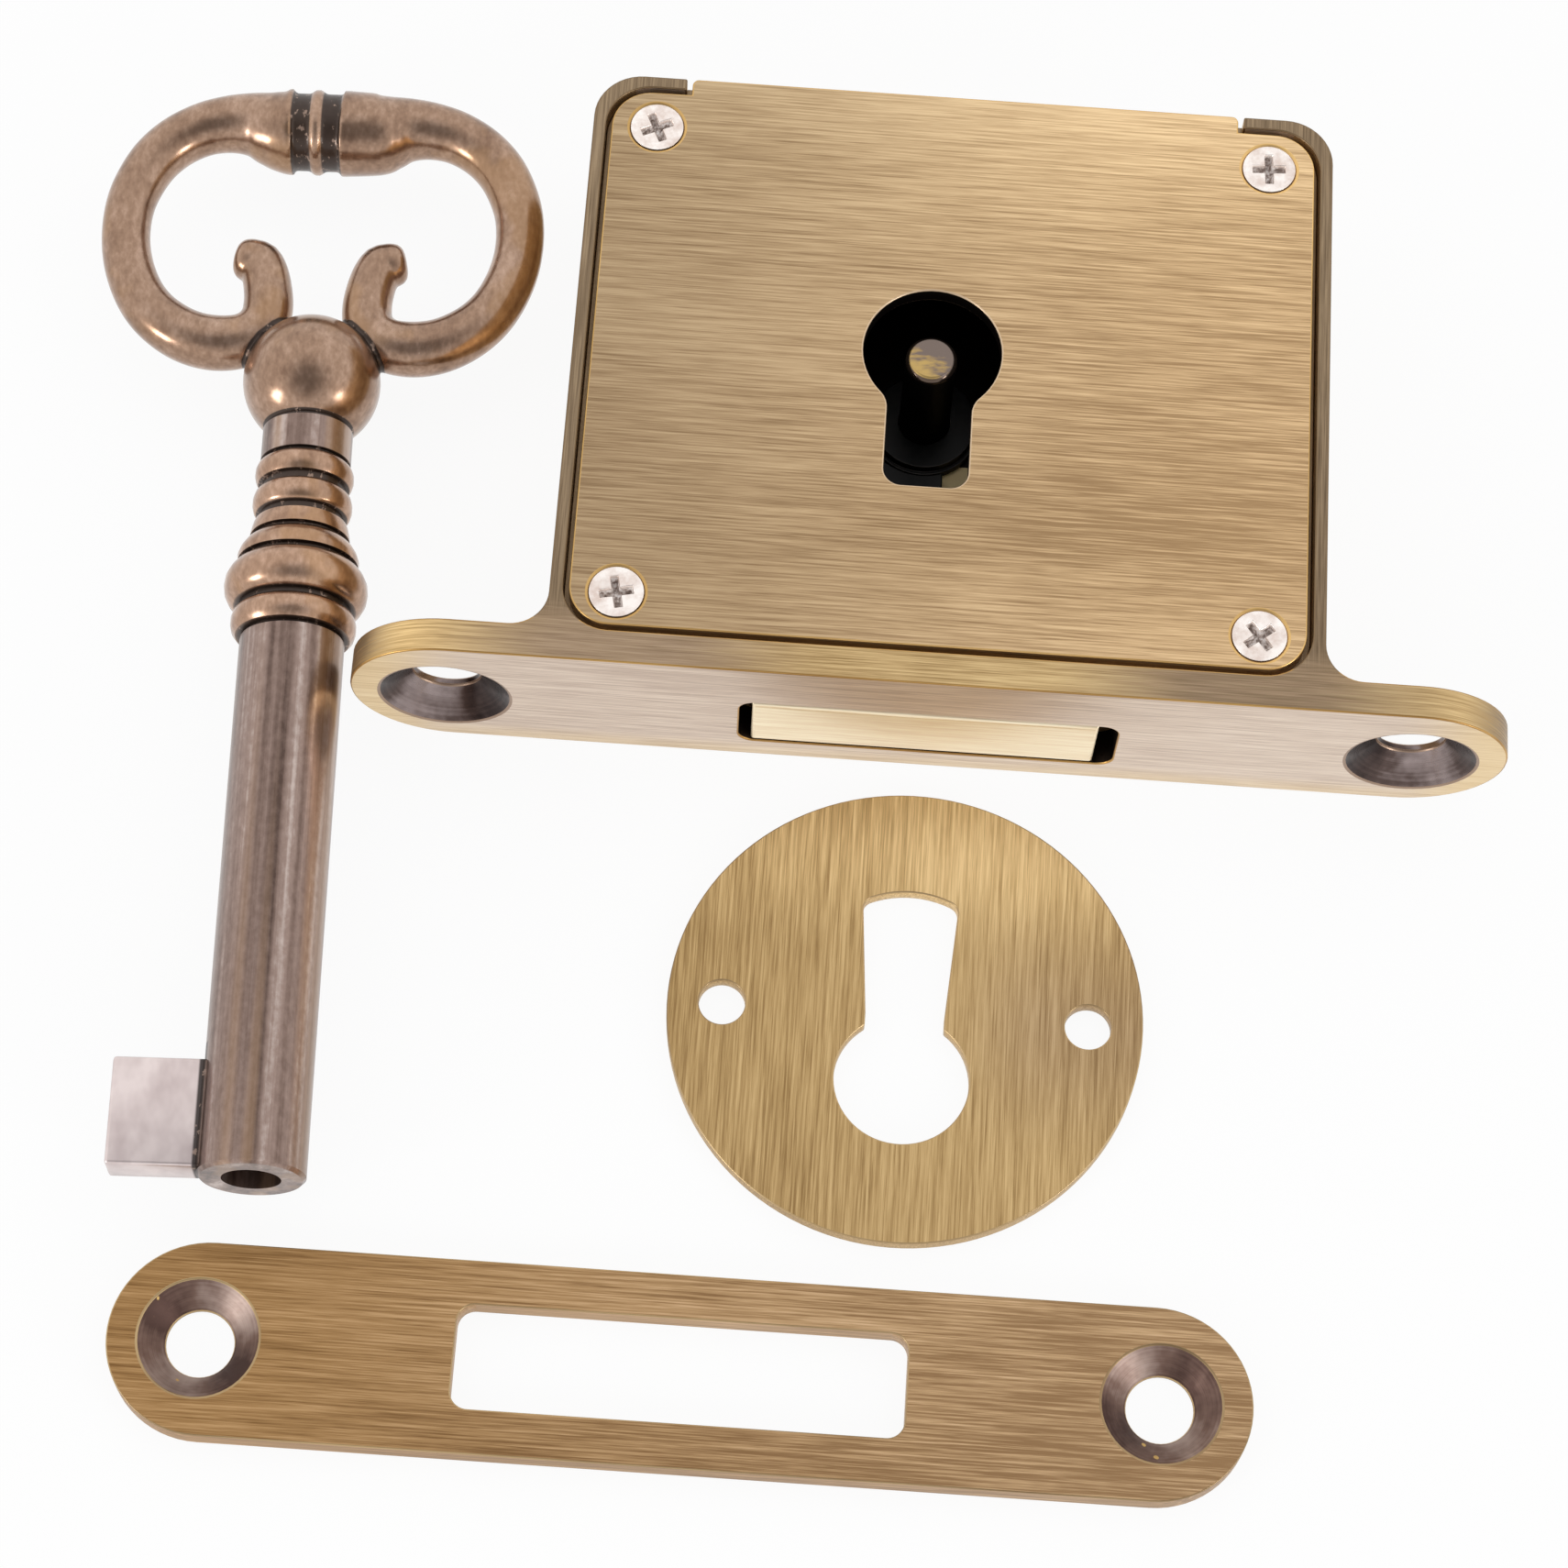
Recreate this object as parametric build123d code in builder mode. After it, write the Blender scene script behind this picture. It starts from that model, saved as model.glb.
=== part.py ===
from build123d import *
import os
from math import acos, asin, atan2, cos, degrees, hypot, radians, sin, sqrt

os.makedirs("parts", exist_ok=True)

# Mortise drawer lock with its key, key escutcheon and strike plate, in millimetres.
# The origin is on the drill pin's axis at the back of the case. X runs along the forend,
# +Y goes from the drawer's front edge into the drawer, and +Z goes from the case's back to its cover.
# The bolt is drawn back, and the loose pieces lie beside the lock on the plane of its back.

# Forend and case
BACKSET = 22.4
PIN_OFFSET = 1.2
LOCK_DEPTH = 12.0
FOREND_LENGTH = 70.0
FOREND_THICK = 2.1
CASE_WIDTH = 46.4
CASE_LENGTH = 40.7
CASE_CORNER_R = 3.0
EAR_FILLET_R = 2.3
FLOOR_THICK = 1.8
WALL_THICK = 2.0
RIM_THICK = 0.8
COVER_THICK = 1.2
COVER_GAP = 0.35
LEDGE_FRONT = 1.2
PIN_SEAT_DEPTH = 1.2
SEAT_GAP = 0.02

# Screw holes of the forend
SCREW_SPACING = 58.6
FOREND_HOLE_D = 4.1
FOREND_SINK_D = 8.0
FOREND_SINK_ANGLE = 100
FOREND_HOLE_Z = 5.55

# Cover plate
COVER_CORNER_R = 2.5
TAB_WIDTH = 34.4
TAB_NOTCH = 0.35
TAB_CORNER_R = 0.4
KEYHOLE_D = 8.5
KEYHOLE_SLOT_WIDTH = 5.15
KEYHOLE_REACH = 9.3
KEYHOLE_CORNER_R = 1.1
KEYHOLE_BLEND_R = 1.6

# Cover screws
COVER_SCREW_SIDE = 2.85
COVER_SCREW_FRONT = 2.17
COVER_SCREW_REAR = 2.53
SCREW_D = 2.0
SCREW_HEAD_D = 3.35
SCREW_HEAD_H = 0.7
SCREW_SINK_ANGLE = 90
SCREW_LENGTH = 5.5
SCREW_TURNS = (12, 38, 25, 3)
RECESS_SPAN = 2.1
RECESS_ARM = 0.55
RECESS_DEPTH = 0.8
RECESS_TAPER = 12
BOSS_D = 5.2

# Bolt
THROW = 7.0
BOLT_WIDTH = 20.95
BOLT_HEIGHT = 5.0
BOLT_Z = 2.15
BOLT_SIDE_SHIFT = 0.22
BOLT_LENGTH = 11.0
BOLT_EDGE_R = 0.3
BOLT_SLOT_WIDTH = 22.9
BOLT_SLOT_HEIGHT = 5.45
BOLT_SLOT_Z = 2.0
BOLT_SLOT_R = 1.0
LAP_LENGTH = 2.2
RIVET_D = 1.6
RIVET_X = (-4.6, 5.4)

# Bolt tail and the posts that guide it
TAIL_GAP = 0.1
TAIL_PLATE = 1.0
ARM_THICK = 3.0
ARM_INNER_X = 8.9
ARM_SIDE_GAP = 6.8
ARM_REAR_GAP = 0.8
TAIL_LEFT_X = -8.0
TONGUE_RIGHT_X = 1.35
TONGUE_LEFT_X = -6.0
TONGUE_REAR_Y = -0.3
TALON_Y = 3.5
TALON_GAP = 4.6
TALON_LUG = 2.4
TALON_REACH = 1.9
STUMP_D = 3.0
STUMP_SPIGOT_D = 2.2
STUMP_Y = -1.5
GUIDE_POST_D = 2.8
GUIDE_SLOT_WALL = 0.8
POST_GAP = 0.1

# Drill pin and the disc that carries the key's end
PIN_D = 3.2
PIN_TOP_GAP = 0.9
PIN_POINT = 0.28
DISC_D = 6.5
DISC_STEP = 0.25
DISC_THICK = 1.1
DISC_GAP = 0.3

# Levers
LEVER_POST_SIDE = 3.8
LEVER_POST_REAR = 7.8
LEVER_POST_D = 3.0
LEVER_POST_BASE_D = 5.0
LEVER_EYE_R = 3.2
LEVER_THICK = 1.5
LEVER_SPACE = 0.2
LEVER_BACK_SIDE = 5.2
LEVER_FRONT_GAP = 0.6
LEVER_RUN_GAP = 0.05
BELLY_R = 7.3
BELLY_START = -48
BELLY_END = 22
LEVER_LIFT = 6.0
WINDOW_GAP = 0.4
SPRING_THICK = 0.3
SPRING_ROOT_GAP = 1.1
SPRING_ROOT_LENGTH = 2.7
SPRING_TIP_GAP = 3.8

# Key
KEY_GAP = 2.64
KEY_TIP_Y = -53.38
KEY_TURN = 2.3
BARREL_D = 6.4
BARREL_LENGTH = 34.4
BARREL_EDGE = 0.22
KEY_BORE_D = 3.5
KEY_BORE_DEPTH = 14.0
BIT_REACH = 8.4
BIT_START = 0.3
BIT_WIDTH = 6.9
BIT_THICK = 2.5
BIT_EDGE_R = 0.35
COLLAR_D = 8.8
BALL_D = 8.65
BALL_FLAT_D = 0.9
BALL_BANDS = 5
NECK_D = 5.56
NECK_LENGTH = 2.6

# Rings between the key's barrel and neck, as height and the radii at bottom and top
KEY_RINGS = (
    (1.8, 3.83, 3.83),
    (3.2, 4.4, 4.4),
    (1.8, 3.8, 3.3),
    (1.4, 3.12, 2.92),
    (2.0, 3.08, 3.08),
    (1.85, 3.06, 3.06),
)
GROOVE_DEEP = 0.35
RING_ROUND = 0.3

# Key's bow
BOW_WIDTH = 28.0
BOW_STRAND_D = 3.15
BOW_TURN_R = 6.3
BOW_SIDE_RUN = 3.2
BOW_ABOVE_BALL = 2.5
BOW_BAR_D = 5.1
BOW_BEAD_HALF = 0.42
BOW_GROOVE = 1.1
BOW_GROOVE_DEEP = 0.42
SCROLL_X = 2.95
SCROLL_TURN_R = 2.2
SCROLL_STEM_R = 7.4
SCROLL_STEM_TURN = 28
SCROLL_TIP_ROUND = (38, 70)

# Escutcheon
ESCUTCHEON_X = 0.94
ESCUTCHEON_Y = -39.2
ESCUTCHEON_D = 28.6
ESCUTCHEON_THICK = 1.0
ESCUTCHEON_HOLE_D = 2.8
ESCUTCHEON_SPACING = 22.0
ESCUTCHEON_EYE_D = 8.1
ESCUTCHEON_EYE_Y = -4.1
ESCUTCHEON_SLOT_LOW = 4.75
ESCUTCHEON_SLOT_HIGH = 5.8
ESCUTCHEON_SLOT_TOP = 7.9
ESCUTCHEON_SLOT_CROWN = 0.75

# Strike plate
STRIKE_X = -10.9
STRIKE_Y = -62.2
STRIKE_LENGTH = 66.3
STRIKE_SPACING = 55.7
STRIKE_WIDTH = 11.5
STRIKE_THICK = 1.6
STRIKE_HOLE_D = 3.95
STRIKE_SINK_D = 7.1
STRIKE_SINK_ANGLE = 98
STRIKE_SLOT_WIDTH = 26.2
STRIKE_SLOT_HEIGHT = 6.2
STRIKE_SLOT_R = 1.05

# Places that follow from the sizes above
FRONT_Y = -BACKSET
REAR_Y = FRONT_Y + CASE_LENGTH
CASE_X = PIN_OFFSET
LEDGE_Z = LOCK_DEPTH - COVER_THICK
WELL_FRONT_Y = FRONT_Y + FOREND_THICK + LEDGE_FRONT
WELL_REAR_Y = REAR_Y - WALL_THICK
WELL_HALF_X = CASE_WIDTH / 2 - WALL_THICK
COVER_FRONT_Y = FRONT_Y + FOREND_THICK + COVER_GAP
COVER_REAR_Y = REAR_Y - RIM_THICK - COVER_GAP
COVER_HALF_X = CASE_WIDTH / 2 - RIM_THICK - COVER_GAP
SEAT_Z = FLOOR_THICK - PIN_SEAT_DEPTH
SCREW_ROWS = (COVER_FRONT_Y + COVER_SCREW_FRONT, COVER_REAR_Y - COVER_SCREW_REAR)
SCREW_PLACES = [
    (CASE_X + side * (COVER_HALF_X - COVER_SCREW_SIDE), row) for row in SCREW_ROWS for side in (-1, 1)
]
BOLT_X = CASE_X - BOLT_SIDE_SHIFT
BOLT_REAR_Y = FRONT_Y + BOLT_LENGTH
LAP_REAR_Y = BOLT_REAR_Y + LAP_LENGTH
TAIL_Z = FLOOR_THICK + TAIL_GAP
PLATE_TOP_Z = TAIL_Z + TAIL_PLATE
ARM_TOP_Z = TAIL_Z + ARM_THICK
ARM_RIGHT_X = CASE_X + WELL_HALF_X - ARM_SIDE_GAP
ARM_REAR_Y = WELL_REAR_Y - ARM_REAR_GAP
POST_X = ARM_INNER_X + 0.58 * (ARM_RIGHT_X - ARM_INNER_X)
GUIDE_POST_Y = ARM_REAR_Y - THROW - GUIDE_SLOT_WALL - GUIDE_POST_D / 2 - POST_GAP
TAIL_FRONT_Y = WELL_FRONT_Y + THROW + COVER_GAP
LEVER_POST_X = CASE_X + WELL_HALF_X - LEVER_POST_SIDE
LEVER_POST_Y = WELL_REAR_Y - LEVER_POST_REAR
LEVER_RIGHT_X = CASE_X + WELL_HALF_X - LEVER_BACK_SIDE
LEVER_FRONT_Y = BOLT_REAR_Y + LEVER_FRONT_GAP
LEVER_Z = ARM_TOP_Z + LEVER_SPACE
LEVER_TOP_Z = LEVER_Z + 2 * LEVER_THICK + LEVER_SPACE
KEY_X = CASE_X - FOREND_LENGTH / 2 - KEY_GAP
KEY_Z = COLLAR_D / 2


# One-piece die-cast case with its forend
forend_plane = Plane(origin=(CASE_X, FRONT_Y, LOCK_DEPTH / 2), x_dir=(1, 0, 0), z_dir=(0, -1, 0))
ear_screw_plane = Plane(origin=(CASE_X, FRONT_Y, FOREND_HOLE_Z), x_dir=(1, 0, 0), z_dir=(0, -1, 0))

with BuildPart() as lock_case:
    with BuildSketch(forend_plane):
        SlotOverall(FOREND_LENGTH, LOCK_DEPTH)
    extrude(amount=-FOREND_THICK)

    # Outer block behind the forend, rounded at its rear corners and where it meets the ears
    block_front = FRONT_Y + FOREND_THICK / 2
    with BuildSketch():
        with Locations((CASE_X, (block_front + REAR_Y) / 2)):
            Rectangle(CASE_WIDTH, REAR_Y - block_front)
    extrude(amount=LOCK_DEPTH)
    upright = lock_case.edges().filter_by(Axis.Z)
    fillet(upright.filter_by(lambda e: abs(e.center().Y - REAR_Y) < 0.01), CASE_CORNER_R)
    ear_root = FRONT_Y + FOREND_THICK
    fillet(
        lock_case.edges()
        .filter_by(Axis.Z)
        .filter_by(lambda e: abs(e.center().Y - ear_root) < 0.01),
        EAR_FILLET_R,
    )

    # Seat for the cover, which runs out through the rear wall under the cover's tab
    seat_front = COVER_FRONT_Y - COVER_GAP
    seat_rear = COVER_REAR_Y + COVER_GAP
    with BuildSketch(Plane.XY.offset(LEDGE_Z)):
        with Locations((CASE_X, (seat_front + seat_rear) / 2)):
            RectangleRounded(
                2 * (COVER_HALF_X + COVER_GAP), seat_rear - seat_front, COVER_CORNER_R + COVER_GAP
            )
        with Locations((CASE_X, REAR_Y - CASE_CORNER_R)):
            Rectangle(TAB_WIDTH + 2 * TAB_NOTCH, 2 * CASE_CORNER_R)
    extrude(amount=COVER_THICK, mode=Mode.SUBTRACT)

    # Well for the works
    with BuildSketch(Plane.XY.offset(FLOOR_THICK)):
        with Locations((CASE_X, (WELL_FRONT_Y + WELL_REAR_Y) / 2)):
            Rectangle(2 * WELL_HALF_X, WELL_REAR_Y - WELL_FRONT_Y)
    extrude(amount=LEDGE_Z - FLOOR_THICK, mode=Mode.SUBTRACT)

    # Screw bosses in the corners of the well
    with BuildSketch(Plane.XY.offset(FLOOR_THICK)):
        with Locations(*SCREW_PLACES):
            Circle(BOSS_D / 2)
    extrude(amount=LEDGE_Z - FLOOR_THICK)
    with BuildSketch(Plane.XY.offset(LEDGE_Z)):
        with Locations(*SCREW_PLACES):
            Circle(SCREW_D / 2 + SEAT_GAP)
    extrude(amount=LOCK_DEPTH - SCREW_LENGTH - LEDGE_Z - COVER_GAP, mode=Mode.SUBTRACT)

    # Bolt slot through the forend
    slot_plane = Plane(
        origin=(CASE_X, FRONT_Y, BOLT_SLOT_Z + BOLT_SLOT_HEIGHT / 2), x_dir=(1, 0, 0), z_dir=(0, -1, 0)
    )
    with BuildSketch(slot_plane):
        RectangleRounded(BOLT_SLOT_WIDTH, BOLT_SLOT_HEIGHT, BOLT_SLOT_R)
    extrude(amount=-(FOREND_THICK + LEDGE_FRONT), mode=Mode.SUBTRACT)

    # Countersunk screw holes in the ears
    with Locations(ear_screw_plane):
        with GridLocations(SCREW_SPACING, 1, 2, 1):
            CounterSinkHole(FOREND_HOLE_D / 2, FOREND_SINK_D / 2, FOREND_THICK, FOREND_SINK_ANGLE)

    # Blind seats for the pin and the posts
    with BuildSketch(Plane.XY.offset(SEAT_Z)):
        Circle(PIN_D / 2 + SEAT_GAP)
        with Locations((POST_X, GUIDE_POST_Y)):
            Circle(GUIDE_POST_D / 2 + SEAT_GAP)
        with Locations((LEVER_POST_X, LEVER_POST_Y)):
            Circle(LEVER_POST_D / 2 + SEAT_GAP)
    extrude(amount=PIN_SEAT_DEPTH, mode=Mode.SUBTRACT)

lock_case.part.label = "lock_case"
export_step(lock_case.part, "parts/lock_case.step")


# Cover plate, flush with the rim, with a rear tab that lies on the rear wall
with BuildPart() as cover_plate:
    with BuildSketch(Plane.XY.offset(LEDGE_Z)) as cover_outline:
        with Locations((CASE_X, (COVER_FRONT_Y + COVER_REAR_Y) / 2)):
            RectangleRounded(2 * COVER_HALF_X, COVER_REAR_Y - COVER_FRONT_Y, COVER_CORNER_R)
        with Locations((CASE_X, (REAR_Y + COVER_REAR_Y - TAB_CORNER_R) / 2)):
            Rectangle(TAB_WIDTH, REAR_Y - COVER_REAR_Y + TAB_CORNER_R)
        tab_ends = cover_outline.vertices().filter_by(lambda v: abs(v.Y - REAR_Y) < 0.01)
        fillet(tab_ends, TAB_CORNER_R)
    extrude(amount=COVER_THICK)

    with BuildSketch(Plane.XY.offset(LEDGE_Z)) as keyhole:
        Circle(KEYHOLE_D / 2)
        with Locations((0, -KEYHOLE_REACH / 2)):
            Rectangle(KEYHOLE_SLOT_WIDTH, KEYHOLE_REACH)
        slot_ends = keyhole.vertices().filter_by(lambda v: abs(v.Y + KEYHOLE_REACH) < 0.01)
        fillet(slot_ends, KEYHOLE_CORNER_R)
        blend_top = -KEYHOLE_D / 4
        blends = keyhole.vertices().filter_by(
            lambda v: v.Y > -KEYHOLE_D / 2 and v.Y < blend_top and abs(v.X) > KEYHOLE_SLOT_WIDTH / 2 - 0.01
        )
        fillet(blends, KEYHOLE_BLEND_R)
    extrude(amount=COVER_THICK, mode=Mode.SUBTRACT)

    for place in SCREW_PLACES:
        with Locations(Plane(origin=(*place, LOCK_DEPTH))):
            CounterSinkHole(
                SCREW_D / 2 + POST_GAP, SCREW_HEAD_D / 2 + POST_GAP, COVER_THICK, SCREW_SINK_ANGLE
            )

cover_plate.part.label = "cover_plate"
export_step(cover_plate.part, "parts/cover_plate.step")


# Four countersunk cross-recess screws that hold the cover
with BuildPart() as cover_screws:
    for place in SCREW_PLACES:
        with BuildSketch(Plane(origin=(*place, 0), x_dir=(1, 0, 0), z_dir=(0, -1, 0))):
            with BuildLine():
                Polyline(
                    (0, LOCK_DEPTH - SCREW_LENGTH),
                    (SCREW_D / 2, LOCK_DEPTH - SCREW_LENGTH),
                    (SCREW_D / 2, LOCK_DEPTH - SCREW_HEAD_H),
                    (SCREW_HEAD_D / 2, LOCK_DEPTH),
                    (0, LOCK_DEPTH),
                    close=True,
                )
            make_face()
        revolve(axis=Axis((*place, 0), (0, 0, 1)))
    for place, turn in zip(SCREW_PLACES, SCREW_TURNS):
        with BuildSketch(Plane(origin=(*place, LOCK_DEPTH)).rotated((0, 0, turn))):
            Rectangle(RECESS_SPAN, RECESS_ARM)
            Rectangle(RECESS_ARM, RECESS_SPAN)
        extrude(amount=-RECESS_DEPTH, taper=RECESS_TAPER, mode=Mode.SUBTRACT)

cover_screws.part.label = "cover_screws"
export_step(cover_screws.part, "parts/cover_screws.step")


# Drill pin that the key's hollow barrel slides over, with a small chamfer at its top
with BuildPart() as drill_pin:
    with BuildSketch(Plane.XY.offset(SEAT_Z)):
        Circle(PIN_D / 2)
    extrude(amount=LOCK_DEPTH - PIN_TOP_GAP - SEAT_Z)
    chamfer(drill_pin.faces().sort_by(Axis.Z)[-1].edges(), PIN_POINT)

drill_pin.part.label = "drill_pin"
export_step(drill_pin.part, "parts/drill_pin.step")


# Stepped disc round the pin, on which the end of the key turns
with BuildPart() as key_guide_disc:
    with BuildSketch(Plane.XY.offset(FLOOR_THICK)):
        Circle(DISC_D / 2 + DISC_STEP)
    extrude(amount=DISC_THICK / 2)
    with BuildSketch(Plane.XY.offset(FLOOR_THICK + DISC_THICK / 2)):
        Circle(DISC_D / 2)
    extrude(amount=DISC_THICK / 2)
    with BuildSketch(Plane.XY.offset(FLOOR_THICK)):
        Circle(PIN_D / 2 + SEAT_GAP)
    extrude(amount=DISC_THICK, mode=Mode.SUBTRACT)

key_guide_disc.part.label = "key_guide_disc"
export_step(key_guide_disc.part, "parts/key_guide_disc.step")


# Bolt head: a brass block with a lap at its rear that lies on the tail
with BuildPart() as bolt_head:
    with BuildSketch(Plane.XY.offset(BOLT_Z)):
        with Locations((BOLT_X, FRONT_Y + BOLT_LENGTH / 2)):
            Rectangle(BOLT_WIDTH, BOLT_LENGTH)
    extrude(amount=BOLT_HEIGHT)
    fillet(bolt_head.faces().sort_by(Axis.Y)[0].edges(), BOLT_EDGE_R)
    lap_low = PLATE_TOP_Z + SEAT_GAP
    with BuildSketch(Plane.XY.offset(lap_low)):
        with Locations((BOLT_X, (BOLT_REAR_Y + LAP_REAR_Y) / 2)):
            Rectangle(BOLT_WIDTH, LAP_LENGTH)
    extrude(amount=ARM_TOP_Z - lap_low)
    with BuildSketch(Plane.XY.offset(BOLT_Z)):
        with Locations((BOLT_X, (TAIL_FRONT_Y - SEAT_GAP + LAP_REAR_Y) / 2)):
            Rectangle(BOLT_WIDTH, LAP_REAR_Y - TAIL_FRONT_Y + SEAT_GAP)
    extrude(amount=lap_low - BOLT_Z, mode=Mode.SUBTRACT)
    rivet_places = [(BOLT_X + x, (TAIL_FRONT_Y + LAP_REAR_Y) / 2) for x in RIVET_X]
    with BuildSketch(Plane.XY.offset(ARM_TOP_Z)):
        with Locations(*rivet_places):
            Circle(RIVET_D / 2 + SEAT_GAP)
    extrude(amount=-(ARM_TOP_Z - lap_low), mode=Mode.SUBTRACT)

bolt_head.part.label = "bolt_head"
export_step(bolt_head.part, "parts/bolt_head.step")


# Bolt tail: a thin plate under the bolt head's lap, with a thick arm beside the key that holds the talon
stump_place = (POST_X, STUMP_Y)
with BuildPart() as bolt_tail:
    plate_rear_y = LAP_REAR_Y + COVER_GAP
    with BuildSketch(Plane.XY.offset(TAIL_Z)):
        with Locations(((TAIL_LEFT_X + ARM_RIGHT_X) / 2, (TAIL_FRONT_Y + plate_rear_y) / 2)):
            Rectangle(ARM_RIGHT_X - TAIL_LEFT_X, plate_rear_y - TAIL_FRONT_Y)
        with Locations(((TONGUE_LEFT_X + TONGUE_RIGHT_X) / 2, (LAP_REAR_Y + TONGUE_REAR_Y) / 2)):
            Rectangle(TONGUE_RIGHT_X - TONGUE_LEFT_X, TONGUE_REAR_Y - LAP_REAR_Y)
        Circle(DISC_D / 2 + DISC_STEP + DISC_GAP, mode=Mode.SUBTRACT)
        with Locations(*rivet_places):
            Circle(RIVET_D / 2 + SEAT_GAP, mode=Mode.SUBTRACT)
    extrude(amount=TAIL_PLATE)

    # Arm with its two talon lugs
    lug_places = [
        (ARM_INNER_X - TALON_REACH / 2 + TAB_CORNER_R / 2, TALON_Y + side * (TALON_GAP + TALON_LUG) / 2)
        for side in (-1, 1)
    ]
    with BuildSketch(Plane.XY.offset(TAIL_Z)) as arm_outline:
        with Locations(((ARM_INNER_X + ARM_RIGHT_X) / 2, (plate_rear_y + ARM_REAR_Y) / 2)):
            Rectangle(ARM_RIGHT_X - ARM_INNER_X, ARM_REAR_Y - plate_rear_y)
        with Locations(*lug_places):
            Rectangle(TALON_REACH + TAB_CORNER_R, TALON_LUG)
        lug_tips = arm_outline.vertices().filter_by(lambda v: v.X < ARM_INNER_X - TALON_REACH + 0.01)
        chamfer(lug_tips, TAB_CORNER_R)
    extrude(amount=ARM_THICK)

    # Guide slot for the post, as long as the throw, and the stump's seat
    with BuildSketch(Plane.XY.offset(TAIL_Z)):
        with Locations((POST_X, GUIDE_POST_Y + THROW / 2)):
            SlotCenterToCenter(THROW, GUIDE_POST_D + 2 * POST_GAP, rotation=90)
        with Locations(stump_place):
            Circle(STUMP_SPIGOT_D / 2 + SEAT_GAP)
    extrude(amount=ARM_THICK, mode=Mode.SUBTRACT)

bolt_tail.part.label = "bolt_tail"
export_step(bolt_tail.part, "parts/bolt_tail.step")


# Two rivets that hold the bolt head to its tail
with BuildPart() as tail_rivets:
    with BuildSketch(Plane.XY.offset(TAIL_Z)):
        with Locations(*rivet_places):
            Circle(RIVET_D / 2)
    extrude(amount=ARM_THICK)

tail_rivets.part.label = "tail_rivets"
export_step(tail_rivets.part, "parts/tail_rivets.step")


# Stump on the arm, which passes through the windows of the levers
with BuildPart() as bolt_stump:
    with BuildSketch(Plane.XY.offset(TAIL_Z)):
        with Locations(stump_place):
            Circle(STUMP_SPIGOT_D / 2)
    extrude(amount=ARM_THICK)
    with BuildSketch(Plane.XY.offset(ARM_TOP_Z)):
        with Locations(stump_place):
            Circle(STUMP_D / 2)
    extrude(amount=LEVER_TOP_Z + COVER_GAP - ARM_TOP_Z)

bolt_stump.part.label = "bolt_stump"
export_step(bolt_stump.part, "parts/bolt_stump.step")


# Post in the case floor that the arm's slot slides along
with BuildPart() as guide_post:
    with BuildSketch(Plane.XY.offset(SEAT_Z)):
        with Locations((POST_X, GUIDE_POST_Y)):
            Circle(GUIDE_POST_D / 2)
    extrude(amount=ARM_TOP_Z - POST_GAP - SEAT_Z)

guide_post.part.label = "guide_post"
export_step(guide_post.part, "parts/guide_post.step")


# Stepped post that the two levers turn on, up to the underside of the cover
with BuildPart() as lever_post:
    with BuildSketch(Plane.XY.offset(SEAT_Z)):
        with Locations((LEVER_POST_X, LEVER_POST_Y)):
            Circle(LEVER_POST_D / 2)
    extrude(amount=LEDGE_Z - POST_GAP - SEAT_Z)
    with BuildSketch(Plane.XY.offset(FLOOR_THICK)):
        with Locations((LEVER_POST_X, LEVER_POST_Y)):
            Circle(LEVER_POST_BASE_D / 2)
    extrude(amount=LEVER_Z - POST_GAP - FLOOR_THICK)

lever_post.part.label = "lever_post"
export_step(lever_post.part, "parts/lever_post.step")


# Spacing sleeve on the post that keeps the levers down
with BuildPart() as lever_sleeve:
    with BuildSketch(Plane.XY.offset(LEVER_TOP_Z + POST_GAP)):
        with Locations((LEVER_POST_X, LEVER_POST_Y)):
            Circle(LEVER_POST_BASE_D / 2)
            Circle(LEVER_POST_D / 2 + SEAT_GAP, mode=Mode.SUBTRACT)
    extrude(amount=LEDGE_Z - LEVER_TOP_Z - 2 * POST_GAP)

lever_sleeve.part.label = "lever_sleeve"
export_step(lever_sleeve.part, "parts/lever_sleeve.step")


def belly_point(angle):
    """A point of the arc that the key's bit lifts, at an angle about the key's axis."""
    return (BELLY_R * cos(radians(angle)), BELLY_R * sin(radians(angle)))


def stump_in_lever(travel):
    """Where the stump stands in a lever's own frame after part of the throw."""
    turn = radians(LEVER_LIFT) * travel / THROW
    away_x = POST_X - LEVER_POST_X
    away_y = STUMP_Y - travel - LEVER_POST_Y
    return (
        LEVER_POST_X + away_x * cos(turn) + away_y * sin(turn),
        LEVER_POST_Y - away_x * sin(turn) + away_y * cos(turn),
    )


# Two levers with a belly round the key and a window for the stump: two pockets with a nib between
pocket_r = STUMP_D / 2 + WINDOW_GAP
pocket_right = POST_X + pocket_r
window_start = stump_in_lever(0)
window_end = stump_in_lever(THROW)
window_run = (window_end[0] - window_start[0], window_end[1] - window_start[1])
belly_low = belly_point(BELLY_START)
belly_high = belly_point(BELLY_END)
eye_top = (LEVER_POST_X - 0.62 * LEVER_EYE_R, LEVER_POST_Y + 0.78 * LEVER_EYE_R)

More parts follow.
